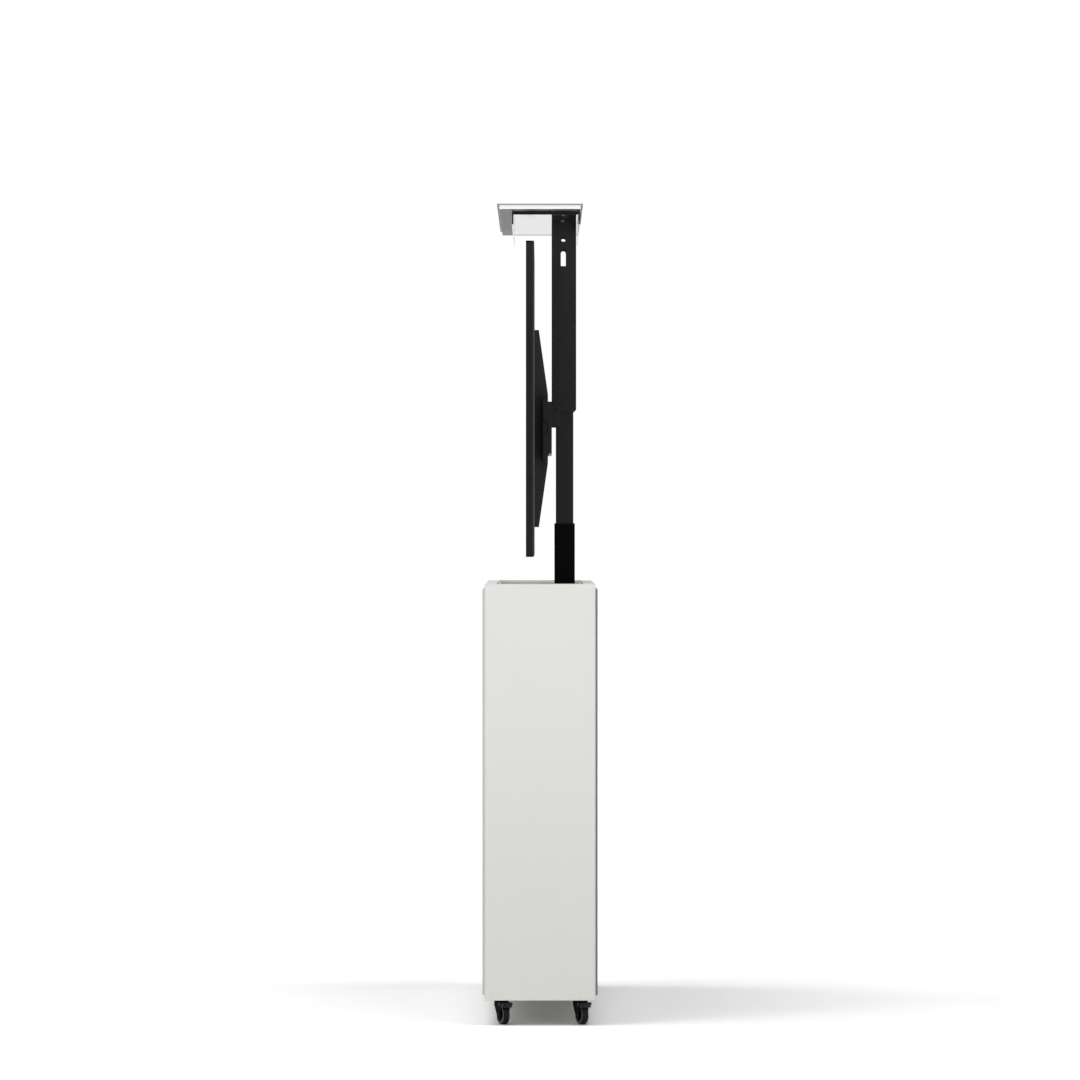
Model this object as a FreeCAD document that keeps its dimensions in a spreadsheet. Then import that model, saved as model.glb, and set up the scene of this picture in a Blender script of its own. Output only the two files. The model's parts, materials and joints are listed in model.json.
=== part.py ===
import FreeCAD, Part
import Sketcher
import math
import os
import re

# A slim white cabinet on four braked castors. A three-stage column inside it lifts the lid and,
# hung below the lid, a flat screen. Width is X, depth is Y with the screen's face towards -Y, up is Z.
# The origin is on the floor under the middle of the cabinet, and the lift stands fully raised.

doc = FreeCAD.newDocument("tv_lift_cabinet")
sheet = doc.addObject("Spreadsheet::Sheet", "sizes")

SIZES = [
    # cabinet
    ("cabinet_width", 1600),
    ("cabinet_depth", 289),
    ("carcass_height", 1088),
    ("castor_height", 66),
    ("side_thick", 18),
    ("base_thick", 18),
    ("board_thick", 12),
    ("facing_thick", 6),
    ("facing_gap_bottom", 13),
    ("facing_gap_top", 11),
    ("cleat_size", 20),
    ("rail_height", 40),
    ("rim_width", 31.2),
    ("ledge_width", 5),
    # lid
    ("lid_plate_thick", 4),
    ("lid_board_thick", 10),
    ("lid_gap", 0.8),
    ("lid_seat_gap", 0.5),
    ("tray_front", 74),
    ("tray_rear", 106.8),
    ("tray_inset", 157),
    ("tray_sheet", 4),
    ("tray_height", 34.5),
    ("tray_bend", 5),
    ("tray_screw_y", 62),
    ("tray_screw_step", 352),
    ("tray_screw_radius", 2),
    ("tray_screw_bite", 7),
    ("tray_head_radius", 4.5),
    ("tray_head_height", 2.5),
    # column
    ("lift_travel", 994),
    ("column_y", 67),
    ("inner_tube_width", 122),
    ("inner_tube_depth", 47.4),
    ("tube_wall", 2),
    ("tube_corner", 4),
    ("inner_glide_gap", 2),
    ("outer_glide_gap", 1.2),
    ("collar_height", 3),
    ("collar_gap", 0.35),
    ("lift_plate_thick", 8),
    ("lift_plate_width", 300),
    ("lift_plate_depth", 116),
    ("gearbox_height", 46),
    ("outer_tube_length", 672),
    ("stage_gap", 31),
    ("middle_tube_length", 645),
    ("nut_step", 23),
    ("inner_tube_drop", 170),
    ("screw_radius", 8),
    ("screw_spacing", 32),
    ("screw_fit", 0.06),
    ("nut_radius", 14),
    ("nut_length", 26),
    ("nut_block", 11),
    ("screw_pass_radius", 11),
    ("screw_end_gap", 20),
    ("motor_radius", 28),
    ("motor_length", 140),
    ("motor_neck_radius", 16),
    ("motor_neck_length", 14),
    # head sleeve
    ("sleeve_length", 513),
    ("sleeve_wall", 2),
    ("sleeve_gap_side", 1.8),
    ("sleeve_gap_front", 2.2),
    ("sleeve_rear_reach", 31.3),
    ("sleeve_chamfer", 7),
    ("sleeve_hole_y", 63.6),
    ("sleeve_hole_drop", 44),
    ("sleeve_hole_radius", 6.8),
    ("sleeve_slot_width", 14),
    ("sleeve_slot_drop", 71),
    ("sleeve_slot_length", 46),
    ("spacer_drop", 190),
    ("spacer_height", 110),
    ("spacer_screw_radius", 3),
    # screen carrier
    ("carrier_front_y", 22),
    ("carrier_width", 600),
    ("carrier_drop", 494),
    ("carrier_height", 139),
    ("carrier_sheet", 2.5),
    ("carrier_bend", 2),
    ("rail_sheet", 2.5),
    ("rail_reach", 12.6),
    ("rail_valley_drop", 556),
    ("rail_valley_high", 17),
    ("rail_split", 0.5),
    ("rail_slope_high", 15),
    ("rail_lip_high", 61),
    ("rail_low_high", 68),
    ("cheek_sheet", 4),
    ("cheek_reach", 28),
    ("cheek_flange", 42),
    ("cheek_height", 61),
    ("cheek_fit", 0.3),
    ("cheek_round", 6),
    ("bolt_radius", 3),
    ("bolt_head_radius", 5.5),
    ("bolt_head_height", 3),
    ("arm_pitch", 400),
    ("arm_width", 30),
    ("arm_sheet", 2.5),
    ("arm_top_drop", 299),
    ("arm_height", 531),
    ("arm_end_depth", 12),
    ("arm_flat_top_drop", 474),
    ("arm_tooth_gap", 5),
    ("arm_fit", 0.4),
    ("screen_screw_pitch", 400),
    ("screen_screw_drop", 364),
    ("screen_screw_radius", 3),
    ("screen_screw_head", 6),
    ("screen_screw_head_height", 3.5),
    ("screen_screw_bite", 8),
    # screen
    ("screen_width", 1450),
    ("screen_height", 830),
    ("screen_drop", 80),
    ("screen_depth", 22),
    ("screen_back_y", -15),
    ("bezel_depth", 5),
    ("bezel_width", 6),
    ("glass_thick", 3),
    ("glass_recess", 0.6),
    ("screen_gap", 0.3),
    ("cover_wall", 2.5),
    ("cover_round", 4),
    # services
    ("service_inset", 240),
    ("service_z", 150),
    ("grommet_radius", 30),
    ("grommet_wall", 4),
    ("inlet_width", 50),
    ("inlet_height", 30),
    ("inlet_depth", 30),
    ("socket_width", 26),
    ("socket_height", 18),
    ("socket_depth", 16),
    ("service_gap", 0.3),
    ("control_x", 320),
    ("control_y", 40),
    ("control_width", 180),
    ("control_depth", 70),
    ("control_height", 50),
    ("control_round", 5),
    # castors
    ("castor_end_inset", 70),
    ("castor_side_inset", 41.5),
    ("castor_turn", 24),
    ("wheel_radius", 25),
    ("wheel_width", 18),
    ("wheel_trail", 16),
    ("wheel_shoulder", 2.5),
    ("hub_radius", 8),
    ("hub_proud", 0.6),
    ("web_depth", 3),
    ("rim_depth", 7),
    ("wheel_side_gap", 1.4),
    ("wheel_top_gap", 1.5),
    ("cheek_thick", 3),
    ("axle_radius", 3),
    ("axle_fit", 0.05),
    ("axle_proud", 0.6),
    ("pin_radius", 4),
    ("pin_length", 9),
    ("flange_radius", 13),
    ("flange_thick", 2.5),
    ("flange_gap", 0.3),
    ("stem_radius", 5),
    ("stem_length", 14),
    ("head_radius", 15),
    ("head_thick", 8),
    ("hood_back", 12),
    ("hood_crown", 18),
    ("hood_front", 30),
    ("hood_slope", 6),
    ("hood_nose", 7),
    ("cheek_foot", 7),
    ("pedal_pin_u", 25),
    ("pedal_pin_drop", 12),
    ("pedal_pin_radius", 2.5),
    ("pedal_front_gap", 1.5),
    ("pedal_side_gap", 0.35),
    ("pedal_arm", 3.2),
    ("pedal_reach", 16),
    ("pedal_lip", 2),
]
for row, (alias, value) in enumerate(SIZES, 1):
    sheet.set(f"A{row}", alias)
    sheet.set(f"B{row}", str(value))
    sheet.setAlias(f"B{row}", alias)
doc.recompute()
ALIAS = re.compile(r"\b(" + "|".join(alias for alias, value in SIZES) + r")\b")


# ---- helpers -------------------------------------------------------------------------------------
def bind(thing, prop, size):
    """Drive one property by an expression written with the sheet's aliases."""
    thing.setExpression(prop, ALIAS.sub(r"sizes.\1", str(size)))


def move(thing, x=0, y=0, z=0):
    """Drive a thing's place by three expressions."""
    for axis, size in zip("xyz", (x, y, z)):
        bind(thing, f".Placement.Base.{axis}", size)
    return thing


def turn(thing, axis, degrees):
    """Turn a thing about its own origin."""
    thing.Placement = FreeCAD.Placement(FreeCAD.Vector(), FreeCAD.Rotation(FreeCAD.Vector(*axis), degrees))
    return thing


def box(name, size, at):
    """A Part box with its low corner at a place."""
    thing = doc.addObject("Part::Box", name)
    thing.Label = name
    for prop, length in zip(("Length", "Width", "Height"), size):
        bind(thing, prop, length)
    return move(thing, *at)


def rod(name, radius, length, at, axis="z"):
    """A Part cylinder from a place along +X, +Y or +Z."""
    thing = doc.addObject("Part::Cylinder", name)
    thing.Label = name
    bind(thing, "Radius", radius)
    bind(thing, "Height", length)
    if axis == "x":
        turn(thing, (0, 1, 0), 90)
    if axis == "y":
        turn(thing, (1, 0, 0), -90)
    return move(thing, *at)


def join(name, parts, kind="Part::MultiFuse"):
    """Several shapes as one: fused, or with kind Part::Compound as a set of loose pieces."""
    thing = doc.addObject(kind, name)
    thing.Label = name
    if kind == "Part::Compound":
        thing.Links = parts
    else:
        thing.Shapes = parts
    return thing


def cut(name, base, tools):
    """One shape with others taken out of it."""
    thing = doc.addObject("Part::Cut", name)
    thing.Label = name
    thing.Base = base
    thing.Tool = tools[0] if len(tools) == 1 else join(f"{name}_tools", tools)
    return thing


def new_body(name):
    body = doc.addObject("PartDesign::Body", name)
    body.Label = name
    return body


def sketch_on(body, role):
    """A sketch on one of the body's own origin planes: XY, XZ or YZ."""
    sketch = body.newObject("Sketcher::SketchObject", f"{body.Name}_{role.lower()}_sketch")
    plane = next(f for f in body.Origin.OriginFeatures if f.Role == f"{role}_Plane")
    sketch.AttachmentSupport = [(plane, "")]
    sketch.MapMode = "FlatFace"
    return sketch


def pin_point(sketch, edge, point, x, y):
    """Hold one point of a sketch at two expressions from the sketch's origin."""
    for kind, size in (("DistanceX", x), ("DistanceY", y)):
        index = sketch.addConstraint(Sketcher.Constraint(kind, -1, 1, edge, point, 1.0))
        bind(sketch, f"Constraints[{index}]", size)


def outline(sketch, corners):
    """A closed loop of straight edges, each corner given by two expressions."""
    count = len(corners)
    first = sketch.GeometryCount
    ring = [math.tau * step / count for step in range(count + 1)]
    points = [FreeCAD.Vector(math.cos(angle), math.sin(angle), 0) for angle in ring]
    for step in range(count):
        sketch.addGeometry(Part.LineSegment(points[step], points[step + 1]))
    for step, (x, y) in enumerate(corners):
        following = first + (step + 1) % count
        sketch.addConstraint(Sketcher.Constraint("Coincident", first + step, 2, following, 1))
        pin_point(sketch, first + step, 1, x, y)


def oblong(low_x, low_y, high_x, high_y):
    """The four corners of an upright rectangle."""
    return [(low_x, low_y), (high_x, low_y), (high_x, high_y), (low_x, high_y)]


def ring_at(sketch, x, y, radius):
    """A circle with its centre and radius given by expressions."""
    edge = sketch.addGeometry(Part.Circle(FreeCAD.Vector(), FreeCAD.Vector(0, 0, 1), 1.0))
    index = sketch.addConstraint(Sketcher.Constraint("Radius", edge, 1.0))
    bind(sketch, f"Constraints[{index}]", radius)
    pin_point(sketch, edge, 3, x, y)


def pad(body, sketch, length, middle=False):
    feature = body.newObject("PartDesign::Pad", f"{body.Name}_pad")
    feature.Profile = sketch
    bind(feature, "Length", length)
    if middle:
        feature.SideType = "Symmetric"
    doc.recompute()
    return feature


def pocket(body, sketch, length, middle=False, back=False):
    """Cut a sketch out of the body, and stop if nothing was cut."""
    before = body.Shape.Volume
    feature = body.newObject("PartDesign::Pocket", f"{body.Name}_pocket")
    feature.Profile = sketch
    bind(feature, "Length", length)
    feature.Reversed = back
    if middle:
        feature.SideType = "Symmetric"
    doc.recompute()
    if feature.Shape.Volume >= before:
        raise RuntimeError(f"{feature.Name} cuts nothing")
    return feature


def dress(body, kind, prop, size, wanted):
    """Round or bevel the edges of the body's last feature that a test picks."""
    base = body.Tip
    edges = [f"Edge{n}" for n, edge in enumerate(base.Shape.Edges, 1) if wanted(edge)]
    if not edges:
        raise RuntimeError(f"{body.Name} has no edge to dress")
    feature = body.newObject(f"PartDesign::{kind}", f"{body.Name}_{kind.lower()}")
    feature.Base = (base, edges)
    bind(feature, prop, size)
    doc.recompute()
    return feature


def along(axis):
    """A test for straight edges that run along one axis."""
    def wanted(edge):
        straight = isinstance(edge.Curve, Part.Line)
        return straight and abs(getattr(edge.tangentAt(edge.FirstParameter), axis)) > 0.999
    return wanted


def outer(axis, test):
    """Straight edges along an axis whose middle point passes a test."""
    def wanted(edge):
        return along(axis)(edge) and test(edge.CenterOfMass)
    return wanted


def prism(name, role, corners, length, middle=True):
    """A body padded from one closed outline on a plane of its own."""
    body = new_body(name)
    sketch = sketch_on(body, role)
    outline(sketch, corners)
    pad(body, sketch, length, middle)
    return body


# ---- levels and faces that several pieces share ---------------------------------------------------
half_width = "cabinet_width / 2"
half_depth = "cabinet_depth / 2"
inside_x = f"({half_width} - side_thick)"
castor_x = f"({half_width} - castor_end_inset)"
castor_y = f"({half_depth} - castor_side_inset)"
base_top = "(castor_height + base_thick)"
cabinet_top = "(castor_height + carcass_height)"
lid_top = f"({cabinet_top} + lift_travel)"
lid_under = f"({lid_top} - lid_plate_thick - lid_board_thick)"
tray_under = f"({lid_under} - tray_sheet)"
opening_half = f"({half_depth} - rim_width)"
ledge_half = f"({opening_half} - ledge_width)"
ledge_z = f"({cabinet_top} - lid_plate_thick - lid_seat_gap)"
rail_low = f"({cabinet_top} - rail_height)"
stage_travel = "lift_travel / 2"
carrier_top = f"({lid_under} - carrier_drop)"
carrier_low = f"({carrier_top} - carrier_height)"
cheek_low = f"({carrier_top} - carrier_sheet - cheek_fit - cheek_height)"
nodes = []


def node(thing):
    """Count a finished piece among those that are written out."""
    nodes.append(thing)
    return thing


# ---- cabinet --------------------------------------------------------------------------------------
for side, low_x in (("right", inside_x), ("left", f"-{half_width}")):
    node(box(f"side_panel_{side}", ("side_thick", "cabinet_depth", "carcass_height"),
             (low_x, f"-{half_depth}", "castor_height")))

base = box("base_blank", (f"2 * {inside_x}", "cabinet_depth", "base_thick"),
           (f"-{inside_x}", f"-{half_depth}", "castor_height"))
corners = [(f"{x}{castor_x}", f"{y}{castor_y}") for x in ("", "-") for y in ("", "-")]
stem_holes = [rod(f"stem_hole_{n}", "stem_radius", "stem_length", (x, y, "castor_height"))
              for n, (x, y) in enumerate(corners, 1)]
node(cut("base_panel", base, stem_holes))

rail_profile = [
    (half_depth, rail_low),
    (half_depth, cabinet_top),
    (opening_half, cabinet_top),
    (opening_half, ledge_z),
    (ledge_half, ledge_z),
    (ledge_half, rail_low),
]
for side, sign in (("rear", ""), ("front", "-")):
    profile = [(f"{sign}({y})", z) for y, z in rail_profile]
    node(prism(f"{side}_top_rail", "YZ", profile, f"2 * {inside_x}"))

ledges = [box(f"end_ledge_{side}", ("ledge_width", f"2 * {ledge_half}", f"{ledge_z} - {rail_low}"),
              (low_x, f"-{ledge_half}", rail_low))
          for side, low_x in (("right", f"{inside_x} - ledge_width"), ("left", f"-{inside_x}"))]
node(join("end_ledges", ledges, "Part::Compound"))

board_high = f"({rail_low} - {base_top})"
node(box("front_board", (f"2 * {inside_x}", "board_thick", board_high),
         (f"-{inside_x}", f"-{half_depth}", base_top)))
rear_blank = box("rear_board_blank", (f"2 * {inside_x}", "board_thick", board_high),
                 (f"-{inside_x}", f"{half_depth} - board_thick", base_top))

facing_low = "(castor_height + facing_gap_bottom)"
facing_high = "(carcass_height - facing_gap_bottom - facing_gap_top)"
node(box("front_panel", ("cabinet_width", "facing_thick", facing_high),
         (f"-{half_width}", f"-{half_depth} - facing_thick", facing_low)))
facing_blank = box("rear_panel_blank", ("cabinet_width", "facing_thick", facing_high),
                   (f"-{half_width}", half_depth, facing_low))

cleats = []
for x_side, low_x in (("right", f"{inside_x} - cleat_size"), ("left", f"-{inside_x}")):
    for y_side, low_y in (("rear", f"{half_depth} - board_thick - cleat_size"),
                          ("front", f"-{half_depth} + board_thick")):
        cleats.append(box(f"cleat_{x_side}_{y_side}", ("cleat_size", "cleat_size", board_high),
                          (low_x, low_y, base_top)))
node(join("corner_cleats", cleats, "Part::Compound"))

# ---- rear services --------------------------------------------------------------------------------
rear_face = f"({half_depth} + facing_thick)"
rear_inner = f"({half_depth} - board_thick)"
rear_thick = "(board_thick + facing_thick)"
inlet_x = f"({half_width} - service_inset)"
grommet_x = f"-{inlet_x}"


def service_tools(name, low_y, thick):
    """The round and the square cut-out that the grommet and the mains inlet need in one sheet."""
    return [
        rod(f"{name}_cable_hole", "grommet_radius + service_gap", thick,
            (grommet_x, low_y, "service_z"), "y"),
        box(f"{name}_inlet_hole", ("inlet_width + 2 * service_gap", thick, "inlet_height + 2 * service_gap"),
            (f"{inlet_x} - inlet_width / 2 - service_gap", low_y,
             "service_z - inlet_height / 2 - service_gap")),
    ]


node(cut("rear_board", rear_blank, service_tools("board", rear_inner, "board_thick")))
node(cut("rear_panel", facing_blank, service_tools("panel", half_depth, "facing_thick")))
grommet_blank = rod("grommet_blank", "grommet_radius", rear_thick, (grommet_x, rear_inner, "service_z"), "y")
grommet_bore = rod("grommet_bore", "grommet_radius - grommet_wall", rear_thick,
                   (grommet_x, rear_inner, "service_z"), "y")
node(cut("cable_grommet", grommet_blank, [grommet_bore]))
inlet_blank = box("inlet_blank", ("inlet_width", "inlet_depth", "inlet_height"),
                  (f"{inlet_x} - inlet_width / 2", f"{rear_face} - inlet_depth",
                   "service_z - inlet_height / 2"))
inlet_socket = box("inlet_socket", ("socket_width", "socket_depth", "socket_height"),
                   (f"{inlet_x} - socket_width / 2", f"{rear_face} - socket_depth",
                    "service_z - socket_height / 2"))
node(cut("power_inlet", inlet_blank, [inlet_socket]))

control = prism("control_box", "XY", oblong("0", "0", "control_width", "control_depth"),
                "control_height", False)
dress(control, "Fillet", "Radius", "control_round", along("z"))
node(move(control, "control_x", "control_y", base_top))

# ---- column ---------------------------------------------------------------------------------------
plate_top = f"({base_top} + lift_plate_thick)"
outer_low = f"({plate_top} + gearbox_height)"
outer_top = f"({outer_low} + outer_tube_length)"
middle_low = f"({outer_low} + stage_gap + {stage_travel})"
inner_low = f"({middle_low} + nut_step + {stage_travel})"
middle_extra = "2 * (inner_glide_gap + tube_wall)"
outer_extra = f"({middle_extra} + 2 * (outer_glide_gap + tube_wall))"
middle_size = (f"(inner_tube_width + {middle_extra})", f"(inner_tube_depth + {middle_extra})")
outer_size = (f"(inner_tube_width + {outer_extra})", f"(inner_tube_depth + {outer_extra})")
inner_size = ("inner_tube_width", "inner_tube_depth")
lower_x = "-screw_spacing / 2"
upper_x = "screw_spacing / 2"


def centred(size):
    """The corners of a rectangle about the sketch's origin."""
    return oblong(f"-{size[0]} / 2", f"-{size[1]} / 2", f"{size[0]} / 2", f"{size[1]} / 2")


def less(size, amount):
    """A section's two sizes, each smaller by an amount."""
    return tuple(f"({part} - {amount})" for part in size)


def tube(name, size, hole, length, low):
    """An upright rectangular tube with rounded outer corners, centred on the column."""
    body = prism(name, "XY", centred(size), length, False)
    dress(body, "Fillet", "Radius", "tube_corner", along("z"))
    sketch = sketch_on(body, "XY")
    outline(sketch, centred(hole))
    pocket(body, sketch, length, back=True)
    return node(move(body, "0", "column_y", low))


tube("column_outer_tube", outer_size, less(outer_size, "2 * tube_wall"), "outer_tube_length", outer_low)
tube("outer_tube_collar", outer_size, less(middle_size, "-2 * collar_gap"), "collar_height", outer_top)
tube("column_middle_tube", middle_size, less(middle_size, "2 * tube_wall"), "middle_tube_length", middle_low)
tube("middle_tube_collar", middle_size, less(inner_size, "-2 * collar_gap"), "collar_height",
     f"({middle_low} + middle_tube_length)")
inner_tube = tube("column_inner_tube", inner_size, less(inner_size, "2 * tube_wall"),
                  f"({tray_under} - inner_tube_drop - {inner_low})", inner_low)

node(box("lift_base_plate", ("lift_plate_width", "lift_plate_depth", "lift_plate_thick"),
         ("-lift_plate_width / 2", "column_y - lift_plate_depth / 2", base_top)))
gearbox = prism("gearbox_housing", "XY", centred(outer_size), "gearbox_height", False)
dress(gearbox, "Fillet", "Radius", "tube_corner", along("z"))
node(move(gearbox, "0", "column_y", plate_top))

motor_x = f"({outer_size[0]} / 2)"
motor_z = f"({plate_top} + motor_radius)"
motor_neck = rod("motor_neck", "motor_neck_radius", "motor_neck_length",
                 (motor_x, "column_y", f"{plate_top} + gearbox_height / 2"), "x")
motor_can = rod("motor_can", "motor_radius", "motor_length",
                (f"{motor_x} + motor_neck_length", "column_y", motor_z), "x")
node(join("drive_motor", [motor_neck, motor_can]))

screw_top = f"({outer_top} - screw_end_gap)"
node(rod("lower_lead_screw", "screw_radius", f"{screw_top} - {outer_low}", (lower_x, "column_y", outer_low)))


def nut_block(name, section, low, nut_x, nut_low, extra_holes):
    """A block that closes the foot of a tube and carries the nut of one lead screw."""
    width, depth = less(section, "2 * tube_wall")
    block = box(f"{name}_plate", (width, depth, "nut_block"),
                (f"-{width} / 2", f"column_y - {depth} / 2", low))
    nut = rod(f"{name}_nut", "nut_radius", "nut_length", (nut_x, "column_y", nut_low))
    bore = rod(f"{name}_bore", "screw_radius + screw_fit", "nut_length + nut_block",
               (nut_x, "column_y", f"{low} - nut_length"))
    bore_up = rod(f"{name}_bore_up", "screw_radius + screw_fit", "nut_length + nut_block",
                  (nut_x, "column_y", low))
    return node(cut(name, join(f"{name}_blank", [block, nut]), [bore, bore_up] + extra_holes))


nut_block("lower_nut_block", middle_size, middle_low, lower_x, f"{middle_low} - nut_length", [])
pass_hole = rod("screw_pass_hole", "screw_pass_radius", "nut_block", (lower_x, "column_y", inner_low))
nut_block("upper_nut_block", inner_size, inner_low, upper_x, f"{inner_low} + nut_block", [pass_hole])
upper_foot = f"({middle_low} + nut_block)"
node(rod("upper_lead_screw", "screw_radius",
         f"{middle_low} + middle_tube_length - screw_end_gap - {upper_foot}",
         (upper_x, "column_y", upper_foot)))

# ---- head sleeve ----------------------------------------------------------------------------------
sleeve_in_x = f"({outer_size[0]} / 2 + sleeve_gap_side)"
sleeve_out_x = f"({sleeve_in_x} + sleeve_wall)"
sleeve_in_y = f"({outer_size[1]} / 2 + sleeve_gap_front)"
sleeve_front_y = f"(column_y - {sleeve_in_y} - sleeve_wall)"
web_bolt_y = f"({sleeve_front_y} + cheek_reach / 2)"
web_bolt_z = f"({cheek_low} + cheek_height - 2 * bolt_head_radius)"
sleeve_corners = [
    (f"-{sleeve_out_x}", "sleeve_rear_reach"),
    (f"-{sleeve_out_x}", f"-{sleeve_in_y} - sleeve_wall"),
    (sleeve_out_x, f"-{sleeve_in_y} - sleeve_wall"),
    (sleeve_out_x, "sleeve_rear_reach"),
    (sleeve_in_x, "sleeve_rear_reach"),
    (sleeve_in_x, f"-{sleeve_in_y}"),
    (f"-{sleeve_in_x}", f"-{sleeve_in_y}"),
    (f"-{sleeve_in_x}", "sleeve_rear_reach"),
]
sleeve = prism("head_sleeve", "XY", sleeve_corners, "sleeve_length", False)
limits = sleeve.Shape.BoundBox
dress(sleeve, "Fillet", "Radius", "sleeve_wall", outer("z", lambda at: at.y < limits.YMin + 0.1))
dress(sleeve, "Chamfer", "Size", "sleeve_chamfer",
      outer("x", lambda at: at.y > limits.YMax - 0.1 and at.z < limits.ZMin + 0.1))
holes = sketch_on(sleeve, "YZ")
hole_y = "(sleeve_hole_y - column_y)"
ring_at(holes, hole_y, "sleeve_length - sleeve_hole_drop", "sleeve_hole_radius")
spacer_levels = [f"(spacer_drop + spacer_height * {share})" for share in (0.25, 0.75)]
for level in spacer_levels:
    ring_at(holes, "0", f"sleeve_length - {level}", "spacer_screw_radius")
ring_at(holes, f"{web_bolt_y} - column_y", f"{web_bolt_z} - {tray_under} + sleeve_length", "bolt_radius")
pocket(sleeve, holes, f"3 * {sleeve_out_x}", middle=True)
slot = sketch_on(sleeve, "YZ")
slot_top = "(sleeve_length - sleeve_slot_drop)"
outline(slot, oblong(f"{hole_y} - sleeve_slot_width / 2",
                     f"{slot_top} - sleeve_slot_length",
                     f"{hole_y} + sleeve_slot_width / 2",
                     f"{slot_top} - sleeve_slot_width / 2"))
pocket(sleeve, slot, f"3 * {sleeve_out_x}", middle=True)
arch = sketch_on(sleeve, "YZ")
ring_at(arch, hole_y, f"{slot_top} - sleeve_slot_width / 2", "sleeve_slot_width / 2")
pocket(sleeve, arch, f"3 * {sleeve_out_x}", middle=True)
node(move(sleeve, "0", "column_y", f"{tray_under} - sleeve_length"))

spacer_blanks = [box(f"spacer_{side}", (f"{sleeve_in_x} - inner_tube_width / 2",
                                        "inner_tube_depth - 2 * tube_corner", "spacer_height"),
                     (low_x, "column_y - inner_tube_depth / 2 + tube_corner",
                      f"{tray_under} - spacer_drop - spacer_height"))
                 for side, low_x in (("right", "inner_tube_width / 2"), ("left", f"-{sleeve_in_x}"))]
spacer_holes = [rod(f"spacer_hole_{n}", "spacer_screw_radius", f"2 * {sleeve_out_x}",
                    (f"-{sleeve_out_x}", "column_y", f"{tray_under} - {level}"), "x")
                for n, level in enumerate(spacer_levels, 1)]
node(cut("sleeve_spacers", join("spacer_pair", spacer_blanks, "Part::Compound"), spacer_holes))
tube_holes = sketch_on(inner_tube, "YZ")
for level in spacer_levels:
    ring_at(tube_holes, "0", f"{tray_under} - {level} - {inner_low}", "spacer_screw_radius")
pocket(inner_tube, tube_holes, "2 * inner_tube_width", middle=True)

# ---- lid ------------------------------------------------------------------------------------------
lid_half_x = f"({inside_x} - lid_gap)"
lid_half_y = f"({opening_half} - lid_gap)"
node(box("lid_top_plate", (f"2 * {lid_half_x}", f"2 * {lid_half_y}", "lid_plate_thick"),
         (f"-{lid_half_x}", f"-{lid_half_y}", f"{lid_top} - lid_plate_thick")))
board_half_x = f"({lid_half_x} - ledge_width - lid_gap)"
board_half_y = f"({lid_half_y} - ledge_width - lid_gap)"
board_blank = box("lid_board_blank", (f"2 * {board_half_x}", f"2 * {board_half_y}", "lid_board_thick"),
                  (f"-{board_half_x}", f"-{board_half_y}", lid_under))
screw_places = [f"{step} * tray_screw_step" for step in (-1.5, -0.5, 0.5, 1.5)]
board_holes = [rod(f"lid_screw_hole_{n}", "tray_screw_radius", "tray_screw_bite", (x, "tray_screw_y", lid_under))
               for n, x in enumerate(screw_places, 1)]
node(cut("lid_board", board_blank, board_holes))

tray_half_x = f"({half_width} - tray_inset)"
tray_corners = [
    ("-tray_front", f"{lid_under} - tray_height"),
    ("-tray_front", lid_under),
    ("tray_rear", lid_under),
    ("tray_rear", f"{lid_under} - tray_height"),
    ("tray_rear - tray_sheet", f"{lid_under} - tray_height"),
    ("tray_rear - tray_sheet", tray_under),
    ("-tray_front + tray_sheet", tray_under),
    ("-tray_front + tray_sheet", f"{lid_under} - tray_height"),
]
tray = prism("lid_tray", "YZ", tray_corners, f"2 * {tray_half_x}")
tray_top = tray.Shape.BoundBox.ZMax
dress(tray, "Fillet", "Radius", "tray_bend", outer("x", lambda at: at.z > tray_top - 0.1))
tray_holes = sketch_on(tray, "XY")
for x in screw_places:
    ring_at(tray_holes, x, "tray_screw_y", "tray_screw_radius")
pocket(tray, tray_holes, f"2 * {lid_top}", middle=True)
node(tray)
tray_screws = [join(f"tray_screw_{n}", [
    rod(f"tray_screw_shank_{n}", "tray_screw_radius", "tray_sheet + tray_screw_bite",
        (x, "tray_screw_y", tray_under)),
    rod(f"tray_screw_head_{n}", "tray_head_radius", "tray_head_height",
        (x, "tray_screw_y", f"{tray_under} - tray_head_height")),
]) for n, x in enumerate(screw_places, 1)]
node(join("tray_screws", tray_screws, "Part::Compound"))

# ---- screen carrier -------------------------------------------------------------------------------
carrier_inner_y = "(carrier_front_y + carrier_sheet)"
carrier_corners = [
    ("carrier_front_y", carrier_low),
    ("carrier_front_y", carrier_top),
    (sleeve_front_y, carrier_top),
    (sleeve_front_y, f"{carrier_top} - carrier_sheet"),
    (carrier_inner_y, f"{carrier_top} - carrier_sheet"),
    (carrier_inner_y, f"{carrier_low} + carrier_sheet"),
    (sleeve_front_y, f"{carrier_low} + carrier_sheet"),
    (sleeve_front_y, carrier_low),
]
carrier = prism("mount_plate", "YZ", carrier_corners, "carrier_width")
carrier_face = carrier.Shape.BoundBox.YMin
dress(carrier, "Fillet", "Radius", "carrier_bend", outer("x", lambda at: at.y < carrier_face + 0.1))
flange_bolt_x = f"({sleeve_out_x} + cheek_sheet + cheek_flange / 2)"
flange_bolt_levels = [f"({cheek_low} + cheek_height * {share})" for share in (0.25, 0.75)]
bolt_places = [(f"{sign}{flange_bolt_x}", level) for sign in ("", "-") for level in flange_bolt_levels]
bolt_holes = sketch_on(carrier, "XZ")
for x, level in bolt_places:
    ring_at(bolt_holes, x, level, "bolt_radius")
pocket(carrier, bolt_holes, f"4 * {carrier_inner_y}", middle=True)
node(carrier)

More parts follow.
